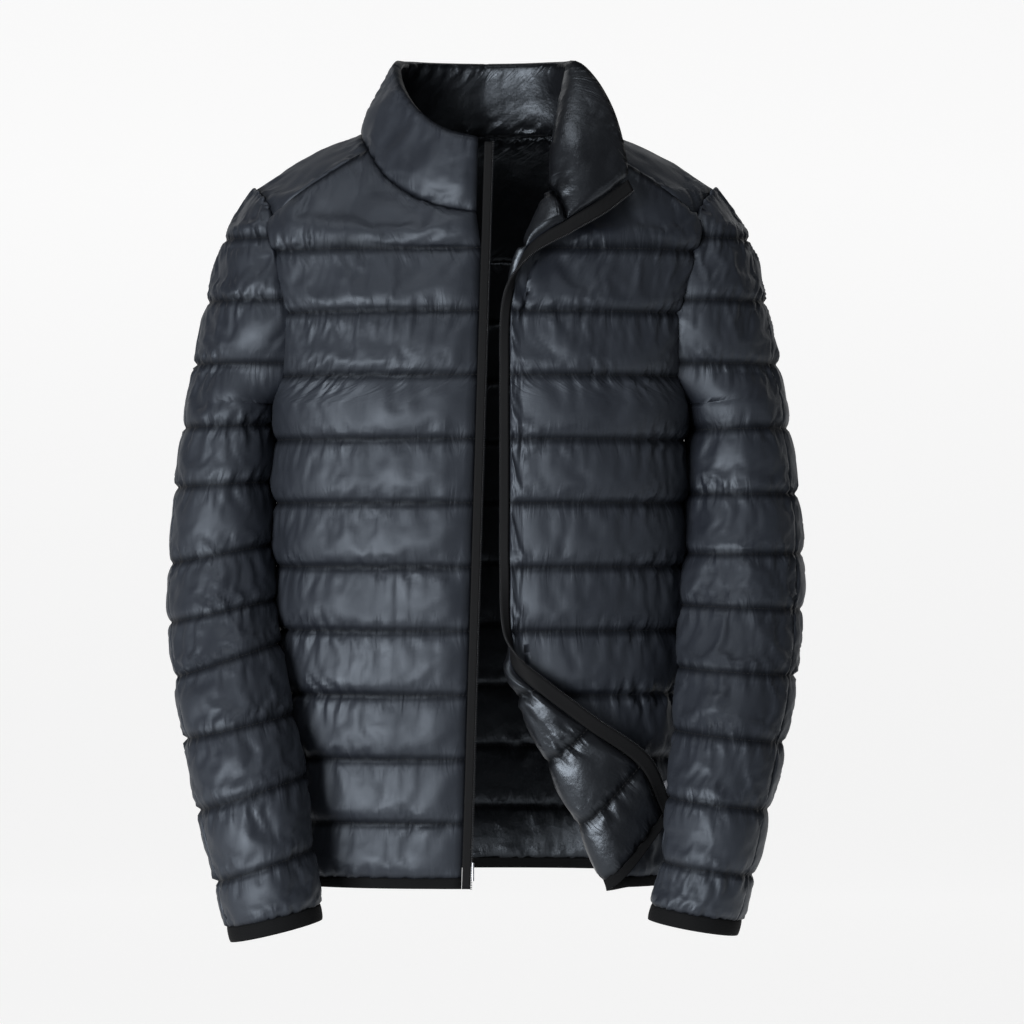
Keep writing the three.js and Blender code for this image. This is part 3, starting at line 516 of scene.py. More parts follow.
def mesh_object(name, points, faces, materials, slots=None, uv=None):
    """A mesh object at the origin from points in metres and faces, with its UV map in metres of cloth."""
    mesh = bpy.data.meshes.new(name)
    mesh.from_pydata(np.asarray(points).reshape(-1, 3).tolist(), [], [list(map(int, f)) for f in faces])
    for material in materials:
        mesh.materials.append(material)
    if slots is not None:
        mesh.polygons.foreach_set("material_index", np.asarray(slots, np.int32))
    if uv is not None:
        layer = mesh.uv_layers.new(name="cloth")
        loops = np.empty(len(mesh.loops), np.int32)
        mesh.loops.foreach_get("vertex_index", loops)
        layer.data.foreach_set("uv", np.asarray(uv, np.float32).reshape(-1, 2)[loops].ravel())
    mesh.polygons.foreach_set("use_smooth", np.ones(len(mesh.polygons), bool))
    mesh.update()
    obj = bpy.data.objects.new(name, mesh)
    bpy.context.scene.collection.objects.link(obj)
    return obj


def along_cloth(points):
    """Distance along the cloth from the grid's first corner, across and up, in metres."""
    across = np.linalg.norm(np.diff(points, axis=1), axis=-1)
    up = np.linalg.norm(np.diff(points, axis=0), axis=-1)
    u = np.concatenate([np.zeros((len(across), 1)), across.cumsum(1)], axis=1)
    v = np.concatenate([np.zeros((1, up.shape[1])), up.cumsum(0)], axis=0)
    return np.stack([u, v], axis=-1)


class Panel:
    """One quilted piece: a fine grid of its surface, its outer cloth and its lining."""

    def __init__(self, name, surface, columns, rows, facing, puff, lining, fade, underarm=None, rolled=False,
                 up_span=CHANNEL):
        self.name, self.columns, self.rows, self.facing = name, np.asarray(columns), np.asarray(rows), facing
        self.base, self.normal = lattice(surface, columns, rows, facing)
        self.puff, self.lining = puff, lining
        s, row = np.meshgrid(self.columns, self.rows)
        self.s, self.row = s, row
        self.room = fade(s, row) * (underarm(s, row) if underarm else 1)
        place = row - np.floor(row)
        self.crown = (1 - np.abs(2 * place - 1) ** 2.6) ** 0.8
        if rolled:
            rim = 1 - 0.55 * np.clip((row - 0.7) / 0.3, 0, 1) ** 3
            self.crown = np.where(row > 0.5, np.maximum(self.crown, rim), self.crown)
            self.base = self.base + np.clip((row[..., None] - 0.6) / 0.4, 0, 1) ** 2 * [0, 0, 3.5 * MM]
        self.on_line = np.abs(row - np.round(row)) < 1e-6
        self.from_line = np.minimum(place, 1 - place) * up_span * MM
        self.arc = along_cloth(self.base)


def blown(panel, height, side, seed, pinch):
    """The cloth of one side of a panel before the pressure: raised between its seams, gathered and uneven."""
    u = panel.arc[..., 0] / MM
    place = panel.row - np.floor(panel.row)
    from_line = panel.from_line / MM
    wander = smooth_noise(panel.base, 50, seed + 1)
    gather = 1 + 0.10 * smooth_noise(panel.base, 90, seed) + 0.06 * smooth_noise(panel.base, 35, seed + 2)
    lift = height * panel.crown * panel.room * gather
    # Pinch folds: the cloth is gathered on each quilt line, so it folds across the line and runs out in the channel
    lean = np.where(place < 0.5, 1, -1) * from_line * 0.05 * (1 + wander)
    fold = np.sin(u * 0.40 + 3.0 * wander + lean + np.floor(panel.row + 0.5) * 1.7)
    fold += 0.6 * np.sin(u * 0.83 + 2.0 * smooth_noise(panel.base, 30, seed + 3) - lean)
    strong = np.clip(0.75 + 0.9 * smooth_noise(panel.base, 70, seed + 4), 0.15, 1.6)
    near = (1 - np.exp(-from_line / 2.2)) * np.exp(-from_line / 9.0)
    lift = lift + pinch * near * strong * np.minimum(panel.room, height / 3) * fold
    # A few long soft creases run slantwise over the channels
    slant = smooth_noise(panel.base * np.array([1.0, 1.0, 0.45]), 38, seed + 5, 2)
    lift = lift + 0.5 * panel.crown * panel.room * np.minimum(height / 5, 1) * slant
    return panel.base + panel.normal * side * (lift * MM)[..., None]


def inflate(jobs, frames, growth, pressure):
    """Runs the cloth simulation on several grids at once and returns each one's points.

    Each job is (name, start points, pinned points as a mask, which way the grid's faces point, most a point may move).
    """
    scene = bpy.context.scene
    scene.frame_start, scene.frame_end = 1, frames
    built = []
    for name, start, pinned, facing, cap in jobs:
        rows, columns = start.shape[:2]
        faces = grid_faces(rows, columns)
        if facing < 0:
            faces = faces[:, ::-1]
        obj = mesh_object(f"blow_{name}", start, faces, [])
        group = obj.vertex_groups.new(name="seams")
        group.add(np.flatnonzero(pinned.ravel()).tolist(), 1.0, "REPLACE")
        cloth = obj.modifiers.new("cloth", "CLOTH")
        s = cloth.settings
        s.vertex_group_mass = "seams"
        s.quality = 5
        s.mass = 0.12
        s.tension_stiffness = s.compression_stiffness = 12
        s.shear_stiffness = 6
        s.bending_stiffness = 0.12
        s.tension_damping = s.compression_damping = 6
        s.bending_damping = 0.6
        s.air_damping = 2.5
        s.use_pressure = True
        s.uniform_pressure_force = pressure
        s.shrink_min = -growth
        s.effector_weights.gravity = 0.25
        cloth.collision_settings.use_collision = False
        cloth.point_cache.frame_start, cloth.point_cache.frame_end = 1, frames
        built.append((obj, cap))
    for tick in range(1, frames + 1):
        scene.frame_set(tick)
    graph = bpy.context.evaluated_depsgraph_get()
    results = []
    for (obj, cap), job in zip(built, jobs):
        mesh = obj.evaluated_get(graph).to_mesh()
        flat = np.empty(len(mesh.vertices) * 3, np.float32)
        mesh.vertices.foreach_get("co", flat)
        start = job[1]
        moved = flat.reshape(start.shape).astype(float) - start
        far = np.linalg.norm(moved, axis=-1, keepdims=True)
        results.append(start + moved * np.minimum(1, cap * MM / np.maximum(far, 1e-9)))
        data = obj.data
        bpy.data.objects.remove(obj)
        bpy.data.meshes.remove(data)
    scene.frame_set(1)
    return results


def wall_object(name, outer, inner, materials, closed=False, flip=False, uv=None, from_line=None):
    """A closed wall between two grids of the same size: outer cloth in the first material, inner in the second."""
    rows, columns = outer.shape[:2]
    count = rows * columns
    front = grid_faces(rows, columns, closed)
    behind = grid_faces(rows, columns, closed)[:, ::-1] + count
    index = np.arange(count).reshape(rows, columns)
    if closed:
        loops = [np.append(index[0], index[0, 0]), np.append(index[-1], index[-1, 0])[::-1]]
    else:
        loops = [np.concatenate([index[0], index[1:, -1], index[-1, -2::-1], index[-2::-1, 0]])]
    rims = [np.stack([loop[:-1] + count, loop[1:] + count, loop[1:], loop[:-1]], axis=1) for loop in loops]
    faces = np.concatenate([front, behind] + rims)
    slots = np.concatenate([np.zeros(len(front)), np.ones(len(behind))] + [np.zeros(len(rim)) for rim in rims])
    if len(materials) == 1:
        slots[:] = 0
    if flip:
        faces = faces[:, ::-1]
    cloth = None if uv is None else np.concatenate([uv.reshape(-1, 2), uv.reshape(-1, 2)])
    points = np.concatenate([outer.reshape(-1, 3), inner.reshape(-1, 3)])
    obj = mesh_object(name, points, faces, materials, slots, cloth)
    if from_line is not None:
        layer = obj.data.attributes.new("seam", "FLOAT", "POINT")
        layer.data.foreach_set("value", np.tile(from_line.ravel(), 2).astype(np.float32))
    return obj


def srgb(code):
    """A hex colour as linear red, green, blue and alpha."""
    values = [int(code[i:i + 2], 16) / 255 for i in (1, 3, 5)]
    return [v / 12.92 if v <= 0.04045 else ((v + 0.055) / 1.055) ** 2.4 for v in values] + [1.0]


def new_material(name, colour, roughness, metallic=0.0, coat=0.0):
    """A material with its Principled shader, whose constants sit on the shader's own sockets."""
    material = bpy.data.materials.new(name)
    material.use_nodes = True
    shader = material.node_tree.nodes["Principled BSDF"]
    shader.inputs["Base Color"].default_value = srgb(colour)
    shader.inputs["Roughness"].default_value = roughness
    shader.inputs["Metallic"].default_value = metallic
    shader.inputs["Coat Weight"].default_value = coat
    material.diffuse_color = srgb(colour)
    return material, material.node_tree, shader


def place(tree, kind, x, y, **values):
    node = tree.nodes.new(kind)
    node.location = (x, y)
    for key, value in values.items():
        setattr(node, key, value)
    return node


def noise(tree, source, scale, detail, x, y):
    node = place(tree, "ShaderNodeTexNoise", x, y)
    node.inputs["Scale"].default_value = scale
    node.inputs["Detail"].default_value = detail
    node.inputs["Roughness"].default_value = 0.6
    tree.links.new(source, node.inputs["Vector"])
    return node.outputs["Fac"]


def ramp(tree, value, numbers, x, y, kind="LINEAR"):
    """Maps a value from its first two numbers to the last two."""
    node = place(tree, "ShaderNodeMapRange", x, y, interpolation_type=kind)
    for socket, number in zip(("From Min", "From Max", "To Min", "To Max"), numbers):
        node.inputs[socket].default_value = number
    tree.links.new(value, node.inputs["Value"])
    return node.outputs["Result"]


def span(tree, value, low, high, x, y):
    """Maps a noise value of about 0.3 to 0.7 to low to high."""
    return ramp(tree, value, (0.3, 0.7, low, high), x, y)


def bump(tree, height, distance, strength, x, y, under=None):
    node = place(tree, "ShaderNodeBump", x, y)
    node.inputs["Strength"].default_value = strength
    node.inputs["Distance"].default_value = distance
    tree.links.new(height, node.inputs["Height"])
    if under is not None:
        tree.links.new(under, node.inputs["Normal"])
    return node.outputs["Normal"]


def taffeta(name, colour, roughness, crease, gather):
    """Downproof nylon taffeta of about 20 denier, calendered on one side so that it shines like satin."""
    material, tree, shader = new_material(name, colour, roughness)
    link = tree.links.new
    place_of = place(tree, "ShaderNodeTexCoord", -1100, 0).outputs["Object"]
    # Soft creases of thin cloth over down, then the fine crinkle left by washing and folding
    creases = noise(tree, place_of, 55, 3, -850, 0)
    crinkle = noise(tree, place_of, 210, 4, -850, -250)
    soft = bump(tree, creases, 0.004, crease, -500, -100)
    fine = bump(tree, crinkle, 0.0006, crease * 0.6, -300, -200, soft)
    # Fine gathers that run out of every quilt line, on the cloth's own UV map
    cloth = place(tree, "ShaderNodeUVMap", -1500, -700, uv_map="cloth").outputs["UV"]
    stretched = place(tree, "ShaderNodeMapping", -1300, -700)
    stretched.inputs["Scale"].default_value = (95, 26, 1)
    link(cloth, stretched.inputs["Vector"])
    gathers = place(tree, "ShaderNodeTexNoise", -1100, -700, noise_dimensions="2D")
    for socket, number in (("Scale", 1), ("Detail", 2), ("Distortion", 0.9)):
        gathers.inputs[socket].default_value = number
    link(stretched.outputs["Vector"], gathers.inputs["Vector"])
    seam = place(tree, "ShaderNodeAttribute", -1100, -950, attribute_name="seam").outputs["Fac"]
    near = ramp(tree, seam, (0.0, 0.022, 1.0, 0.06), -900, -950, "SMOOTHERSTEP")
    folds = place(tree, "ShaderNodeMath", -700, -800, operation="MULTIPLY")
    link(gathers.outputs["Fac"], folds.inputs[0])
    link(near, folds.inputs[1])
    fine = bump(tree, folds.outputs["Value"], 0.0042, gather, -350, -500, fine)
    # The needle's line lies in the shade of the channels on both sides of it
    shade = ramp(tree, seam, (0.0003, 0.0075, 0.0, 1.0), -900, 600, "SMOOTHSTEP")
    tone = place(tree, "ShaderNodeMix", -500, 600, data_type="RGBA")
    tone.inputs[6].default_value = [v * 0.45 for v in srgb(colour)[:3]] + [1]
    tone.inputs[7].default_value = srgb(colour)
    link(shade, tone.inputs[0])
    link(tone.outputs[2], shader.inputs["Base Color"])
    link(ramp(tree, shade, (0.0, 1.0, 0.16, 0.58), -500, 850), shader.inputs["Specular IOR Level"])
    # The weave, 40 threads to the centimetre, along the cloth's own UV map
    weave = place(tree, "ShaderNodeTexChecker", -850, -500)
    weave.inputs["Scale"].default_value = 4000
    link(cloth, weave.inputs["Vector"])
    woven = bump(tree, weave.outputs["Fac"], 0.00005, 0.12, -100, -300, fine)
    tree.links.new(woven, shader.inputs["Normal"])
    uneven = noise(tree, place_of, 24, 2, -850, 300)
    tree.links.new(span(tree, uneven, roughness - 0.06, roughness + 0.08, -500, 300), shader.inputs["Roughness"])
    # The reflection is tinted pale blue: painted cool light, as the nylon's own reflection has no tint
    shader.inputs["Specular Tint"].default_value = srgb("#e2effe")
    shader.inputs["Anisotropic"].default_value = 0.3
    return material


def knitted(name, colour, lines):
    """Elastic binding: a matt knitted tape with fine ribs along it."""
    material, tree, shader = new_material(name, colour, 0.85)
    shader.inputs["Specular IOR Level"].default_value = 0.14
    cloth = place(tree, "ShaderNodeUVMap", -1000, 0, uv_map="cloth").outputs["UV"]
    ribs = place(tree, "ShaderNodeTexWave", -750, 0, bands_direction="Y")
    ribs.inputs["Scale"].default_value = lines
    ribs.inputs["Distortion"].default_value = 0.6
    tree.links.new(cloth, ribs.inputs["Vector"])
    tree.links.new(bump(tree, ribs.outputs["Fac"], 0.0003, 0.5, -400, -100), shader.inputs["Normal"])
    return material


def tape_weave(name, colour):
    """Woven polyester zip tape in a herringbone."""
    material, tree, shader = new_material(name, colour, 0.75)
    shader.inputs["Specular IOR Level"].default_value = 0.16
    cloth = place(tree, "ShaderNodeUVMap", -1000, 0, uv_map="cloth").outputs["UV"]
    twill = place(tree, "ShaderNodeTexWave", -750, 0, bands_direction="DIAGONAL")
    twill.inputs["Scale"].default_value = 450
    tree.links.new(cloth, twill.inputs["Vector"])
    tree.links.new(bump(tree, twill.outputs["Fac"], 0.0002, 0.5, -400, -100), shader.inputs["Normal"])
    return material


def plastic(name, colour, roughness):
    """Moulded or drawn nylon, as zip coils and sewing thread are."""
    material, tree, shader = new_material(name, colour, roughness)
    source = place(tree, "ShaderNodeTexCoord", -900, 0).outputs["Object"]
    grain = noise(tree, source, 900, 2, -650, 0)
    tree.links.new(span(tree, grain, roughness - 0.05, roughness + 0.08, -300, 0), shader.inputs["Roughness"])
    return material


def enamel(name, colour):
    """Zinc casting with a satin grey enamel, as zip pins, boxes and sliders are."""
    material, tree, shader = new_material(name, colour, 0.32, metallic=0.35, coat=0.3)
    source = place(tree, "ShaderNodeTexCoord", -900, 0).outputs["Object"]
    wear = noise(tree, source, 500, 3, -650, 0)
    tree.links.new(span(tree, wear, 0.26, 0.42, -300, 0), shader.inputs["Roughness"])
    return material


class JacketColours(bpy.types.PropertyGroup):
    """Colours of the cloth and the trim, as hex codes."""

    shell: bpy.props.StringProperty(name="Shell", description="Outer taffeta", default="#191c23")
    lining: bpy.props.StringProperty(name="Lining", description="Lining taffeta", default="#0e0f12")
    binding: bpy.props.StringProperty(name="Binding", description="Elastic binding", default="#090a0c")
    tape: bpy.props.StringProperty(name="Zip tape", description="Woven tape", default="#0b0c0e")
    teeth: bpy.props.StringProperty(name="Zip teeth", description="Nylon coil", default="#1f2125")
    thread: bpy.props.StringProperty(name="Thread", description="Quilting thread", default="#0c0d10")
    hardware: bpy.props.StringProperty(name="Zip hardware", description="Enamel", default="#8d9096")
    floor: bpy.props.StringProperty(name="Backdrop", description="Studio paper", default="#f4f4f4")


class JacketSizes(bpy.types.PropertyGroup):
    """Sizes of the fill, the cloth's grid and the sewing, in metres."""

    body_puff: bpy.props.FloatProperty(
        name="Body puff", description="Height of a channel over its seams", default=0.0060, unit="LENGTH")
    sleeve_puff: bpy.props.FloatProperty(
        name="Sleeve puff", description="Height of a sleeve's channel", default=0.0042, unit="LENGTH")
    collar_puff: bpy.props.FloatProperty(
        name="Collar puff", description="Height of the collar's fill", default=0.0065, unit="LENGTH")
    lining_puff: bpy.props.FloatProperty(
        name="Lining puff", description="Height of a channel on the lining", default=0.0035, unit="LENGTH")
    grid: bpy.props.FloatProperty(
        name="Grid", description="Spacing of the cloth's points", default=0.0035, unit="LENGTH")
    growth: bpy.props.FloatProperty(
        name="Gathering", description="Share by which the cloth is longer than its seams", default=0.012,
        subtype="FACTOR")
    pinch: bpy.props.FloatProperty(
        name="Pinch folds", description="Depth of the gathers beside a seam", default=0.0026, unit="LENGTH")
    pressure: bpy.props.FloatProperty(name="Pressure", description="Push of the fill on the cloth", default=7.0)
    frames: bpy.props.IntProperty(name="Frames", description="Length of the cloth simulation", default=14)
    stitch: bpy.props.FloatProperty(
        name="Stitch", description="Length of a stitch and its gap", default=0.0036, unit="LENGTH")
    tooth: bpy.props.FloatProperty(
        name="Tooth pitch", description="Spacing of the zip's teeth", default=0.0015, unit="LENGTH")


MATERIALS = {}
PANELS = {}


def dress(obj, node):
    """Declares a piece that stands for a CAD node of cloth."""
    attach(obj, "root")
    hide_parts(node)


class JACKET_OT_materials(bpy.types.Operator):
    """Make the jacket's materials"""

    bl_idname = "jacket.materials"
    bl_label = "Materials"

    def execute(self, context):
        c = context.scene.jacket_colours
        MATERIALS.update(
            shell=taffeta("shell_taffeta", c.shell, 0.53, 0.06, 0.30),
            lining=taffeta("lining_taffeta", c.lining, 0.36, 0.24, 0.35),
            binding=knitted("elastic_binding", c.binding, 240),
            tape=tape_weave("zip_tape", c.tape),
            teeth=plastic("zip_coil", c.teeth, 0.38),
            thread=plastic("thread", c.thread, 0.85),
            hardware=enamel("zip_enamel", c.hardware),
        )
        return {"FINISHED"}


def tapered(width, taper=11, low=0, high=1, low_floor=0.0, high_floor=0.0):
    """Share of the fill's height beside a panel's end seams, where each floor is the share left on the seam."""
    def share(s, row):
        rise = np.clip((s - low) * width / taper, 0, 1) ** 0.6
        fall = np.clip((high - s) * width / taper, 0, 1) ** 0.6
        return (low_floor + (1 - low_floor) * rise) * (high_floor + (1 - high_floor) * fall)
    return share


def make_panels(sizes):
    """The quilted pieces' grids: all seam lines lie on whole rows."""
    step = sizes.grid / MM
    per_row = int(round(CHANNEL / step))
    body, sleeve_height, collar_height = sizes.body_puff / MM, sizes.sleeve_puff / MM, sizes.collar_puff / MM
    thin = sizes.lining_puff / MM

    def under(s, row):
        return np.clip(np.abs(row - 7.6) / 1.3 + s * 5, 0.6, 1)

    def under_both(s, row):
        return np.clip(np.abs(row - 7.6) / 1.3 + np.minimum(s, 1 - s) * 11, 0.6, 1)

    def under_sleeve(s, row):
        return np.clip(np.abs(row - 8.7) / 1.2 + s * 2, 0.5, 1)

    def left_height(s, row):
        main = body + (2.5 - body) * np.clip((s - 0.84) / 0.16, 0, 1)
        return np.where(s <= 1, main, 2.5)

    def left_lining(s, row):
        return np.where(s <= 1, thin, thin + 1.5 * np.clip((s - 1.15) / 0.3, 0, 1))

    def collar_outer(s, row):
        return np.where(s <= 1, collar_height, 2.5)

    def collar_lining(s, row):
        return np.where(s <= 1, 4.5, 6.0)

    def columns(width, low=0.0, high=1.0):
        return np.linspace(low, high, int(round(width / step)) + 1)

    strip = 1 + columns(WIDTH["strip"])[1:]
    turned = np.concatenate([columns(WIDTH["front_left"]), strip])
    collar_turned = np.concatenate([columns(WIDTH["collar"]), strip])
    rows = even(0, 11, 11 * per_row)
    made = {}

    def panel(name, *values, **options):
        made[name] = Panel(name, *values, **options)

    panel("front_right", right_front, columns(WIDTH["front_right"]), rows, 1, body, thin,
          tapered(WIDTH["front_right"], low_floor=0.85), under)
    panel("front_left", left_front, turned, rows, -1, left_height, left_lining,
          tapered(WIDTH["front_left"], high=1.98, low_floor=0.85), under)
    panel("back", back, columns(WIDTH["back"]), even(0, 10, 10 * per_row), -1, body, thin,
          tapered(WIDTH["back"], low_floor=0.85, high_floor=0.85), under_both)
    panel("yoke", yoke, columns(WIDTH["yoke"]), even(0, 1, int(round(YOKE_RISE / step))), -1, 5.5, thin,
          tapered(WIDTH["yoke"], 20), up_span=YOKE_RISE)
    panel("collar", collar, collar_turned, even(0, 1, int(round(COLLAR_RISE / step))), -1, collar_outer,
          collar_lining, tapered(WIDTH["collar"], high=1.98), rolled=True, up_span=COLLAR_RISE)
    side_fade = tapered(WIDTH["sleeve"], low_floor=0.85, high_floor=0.85)
    head_fade = tapered(WIDTH["sleeve"], high_floor=0.85)

    def sleeve_fade(s, row):
        # The sleeve head is sewn flat into the armhole
        head = np.clip(row - 8, 0, 1)
        return side_fade(s, row) * (1 - head) + head_fade(s, row) * head

    for which in ("right", "left"):
        for half, face in ((-1, "front"), (1, "back")):
            def surface(s, row, which=which, half=half):
                return sleeve(which, half, s, row)
            facing = (-1 if which == "left" else 1) * half
            panel(f"sleeve_{which}_{face}", surface, columns(WIDTH["sleeve"]), even(0, 12, 12 * per_row), facing,
                  sleeve_height, thin, sleeve_fade, under_sleeve)
    return made


class JACKET_OT_panels(bpy.types.Operator):
    """Make the quilted panels and blow them out with a cloth simulation"""

    bl_idname = "jacket.panels"
    bl_label = "Quilted panels"

    def execute(self, context):
        sizes = context.scene.jacket_sizes
        PANELS.update(make_panels(sizes))
        jobs, heights = [], {}
        for seed, (name, panel) in enumerate(PANELS.items()):
            height = panel.puff(panel.s, panel.row) if callable(panel.puff) else panel.puff
            height = np.broadcast_to(np.asarray(height, float), panel.s.shape)
            heights[name] = height
            pinned = panel.on_line.copy()
            pinned[:, 0] = pinned[:, -1] = True
            start = blown(panel, height, 1, seed * 11, sizes.pinch / MM)
            cap = (height * 0.6)[..., None] + 0.8
            jobs.append((name, start, pinned, panel.facing, cap))
        results = inflate(jobs, sizes.frames, sizes.growth, sizes.pressure)
        for seed, ((name, panel), outer) in enumerate(zip(PANELS.items(), results)):
            lining = panel.lining(panel.s, panel.row) if callable(panel.lining) else panel.lining
            lining = np.broadcast_to(np.asarray(lining, float), panel.s.shape)
            inner = blown(panel, lining, -1, 500 + seed, sizes.pinch / MM) - panel.normal * WALL * MM
            # The two cloths never pass through each other or through what lies behind them
            lift = ((outer - panel.base) * panel.normal).sum(-1, keepdims=True)
            outer = outer + panel.normal * np.maximum(0, -0.2 * MM - lift)
            panel.outer, panel.inner = outer, inner
            obj = wall_object(
                name + "_cloth", outer, inner, [MATERIALS["shell"], MATERIALS["lining"]], flip=panel.facing < 0,
                uv=panel.arc, from_line=panel.from_line)
            dress(obj, name)
        return {"FINISHED"}


def band(surface, columns, rows, facing, outside, inside, crown=0.0):
    """Outer and inner grid of a plain tape or binding, whose outside may be crowned across its width."""
    base, normal = lattice(surface, columns, rows, facing)
    across = np.linspace(0, 1, len(rows))[:, None]
    lift = (outside + crown * (np.sqrt(np.clip(np.sin(np.pi * across), 0, 1)) - 0.5)) * MM
    outer = base + normal * np.broadcast_to(lift, base.shape[:2])[..., None]
    inner = base - normal * inside * MM
    return base, outer, inner, along_cloth(base)


class JACKET_OT_bindings(bpy.types.Operator):
    """Make the elastic bindings of the hem and the cuffs"""

    bl_idname = "jacket.bindings"
    bl_label = "Bindings"

    def execute(self, context):
        def hem(u, row):
            right, behind = right_front(1 - np.clip(u, 0, 1), row), back(np.clip(u - 1, 0, 1), row)
            left = left_front(np.clip(u - 2, 0, 2), row)
            return np.where((u <= 1)[..., None], right, np.where((u <= 2)[..., None], behind, left))

        columns = np.concatenate([even(0, 1, 58), even(1, 2, 125)[1:], even(2, 3, 54)[1:], even(3, 4, 30)[1:]])
        rows = np.linspace(-HEM_BINDING, BINDING_LAP, 9) / HEM_ROW
        base, outer, inner, cloth = band(hem, columns, rows, -1, BINDING_OUT, BINDING_IN, BINDING_CROWN)
        # Elastic gathers the cloth, so the binding runs in small waves
        gather = smooth_noise(base, 26, 7) * 0.35 * MM
        outer = outer + (outer - inner) / np.linalg.norm(outer - inner, axis=-1, keepdims=True) * gather[..., None]
        obj = wall_object("hem_binding_cloth", outer, inner, [MATERIALS["binding"]], flip=True, uv=cloth)
        dress(obj, "hem_binding")
        for which in ("right", "left"):
            def ring(s, t, which=which):
                return cuff(which, s, 1 - t)
            facing = -1 if which == "left" else 1
            columns = even(0, 1, 96)
            base, outer, inner, cloth = band(
                ring, columns, even(0, CUFF_LAP, 8), facing, BINDING_OUT, BINDING_IN, BINDING_CROWN)
            outer, inner, cloth = outer[:, :-1], inner[:, :-1], cloth[:, :-1]
            name = f"cuff_binding_{which}"
            obj = wall_object(
                name + "_cloth", outer, inner, [MATERIALS["binding"]], closed=True, flip=facing < 0, uv=cloth)
            dress(obj, name)
        return {"FINISHED"}


def along_tree(name, pitch, size, material):
    """Geometry Nodes: small rounded bars set side by side along every curve, as stitches or as zip teeth."""
    tree = bpy.data.node_groups.new(name, "GeometryNodeTree")
    tree.interface.new_socket("Geometry", in_out="INPUT", socket_type="NodeSocketGeometry")
    tree.interface.new_socket("Geometry", in_out="OUTPUT", socket_type="NodeSocketGeometry")
    wanted = {}
    for label, value in (("Pitch", pitch), ("Length", size[0]), ("Width", size[1]), ("Height", size[2])):
        socket = tree.interface.new_socket(label, in_out="INPUT", socket_type="NodeSocketFloat")
        socket.default_value = value
        wanted[label] = socket.identifier
    entry, leave = place(tree, "NodeGroupInput", -900, 0), place(tree, "NodeGroupOutput", 900, 0)
    curve = place(tree, "GeometryNodeMeshToCurve", -700, 100)
    spots = place(tree, "GeometryNodeCurveToPoints", -450, 100, mode="LENGTH")
    bar = place(tree, "GeometryNodeMeshUVSphere", -450, -250)
    bar.inputs["Segments"].default_value = 6
    bar.inputs["Rings"].default_value = 4
    bar.inputs["Radius"].default_value = 0.5
    sized = place(tree, "GeometryNodeTransform", -150, -250)
    scale = place(tree, "ShaderNodeCombineXYZ", -350, -450)
    instance = place(tree, "GeometryNodeInstanceOnPoints", 100, 100)
    real = place(tree, "GeometryNodeRealizeInstances", 350, 100)
    paint = place(tree, "GeometryNodeSetMaterial", 600, 100)
    paint.inputs["Material"].default_value = material
    link = tree.links.new
    link(entry.outputs["Geometry"], curve.inputs["Mesh"])
    link(curve.outputs["Curve"], spots.inputs["Curve"])
    link(entry.outputs["Pitch"], spots.inputs["Length"])
    link(entry.outputs["Width"], scale.inputs["X"])
    link(entry.outputs["Height"], scale.inputs["Y"])
    link(entry.outputs["Length"], scale.inputs["Z"])
    link(bar.outputs["Mesh"], sized.inputs["Geometry"])
    link(scale.outputs["Vector"], sized.inputs["Scale"])
    link(spots.outputs["Points"], instance.inputs["Points"])
    link(sized.outputs["Geometry"], instance.inputs["Instance"])
    link(spots.outputs["Rotation"], instance.inputs["Rotation"])
    link(instance.outputs["Instances"], real.inputs["Geometry"])
    link(real.outputs["Geometry"], paint.inputs["Geometry"])
    link(paint.outputs["Geometry"], leave.inputs["Geometry"])
    return tree, wanted


def run_along(name, lines, pitch, size, material):
    """A plain mesh of bars along polylines given as arrays of points in metres."""
    points, edges, first = [], [], 0
    for line in lines:
        points.extend(line.tolist())
        edges.extend((first + i, first + i + 1) for i in range(len(line) - 1))
        first += len(line)
    mesh = bpy.data.meshes.new(name + "_path")
    mesh.from_pydata(points, edges, [])
    path = bpy.data.objects.new(name + "_path", mesh)
    bpy.context.scene.collection.objects.link(path)
    tree, sockets = along_tree(name + "_nodes", pitch, size, material)
    modifier = path.modifiers.new("along", "NODES")
    modifier.node_group = tree
    for label, value in (("Pitch", pitch), ("Length", size[0]), ("Width", size[1]), ("Height", size[2])):
        modifier[sockets[label]] = value
    graph = bpy.context.evaluated_depsgraph_get()
    made = bpy.data.meshes.new_from_object(path.evaluated_get(graph), depsgraph=graph)
    if not len(made.polygons):
        raise RuntimeError(f"{name}: its nodes made no faces")
    made.polygons.foreach_set("use_smooth", np.ones(len(made.polygons), bool))
    path.modifiers.clear()
    bpy.data.objects.remove(path)
    bpy.data.meshes.remove(mesh)
    obj = bpy.data.objects.new(name, made)
    bpy.context.scene.collection.objects.link(obj)
    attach(obj, "root")
    return obj


def zip_tape(name, surface, rows, facing):
    """One tape of the zip; gives the line of its outer edge, where the teeth are."""
    base, outer, inner, cloth = band(surface, even(0, 1, 5), rows, facing, TAPE_HALF, TAPE_HALF)
    obj = wall_object(name + "_cloth", outer, inner, [MATERIALS["tape"]], flip=facing < 0, uv=cloth)
    dress(obj, name)
    return base[:, -1]


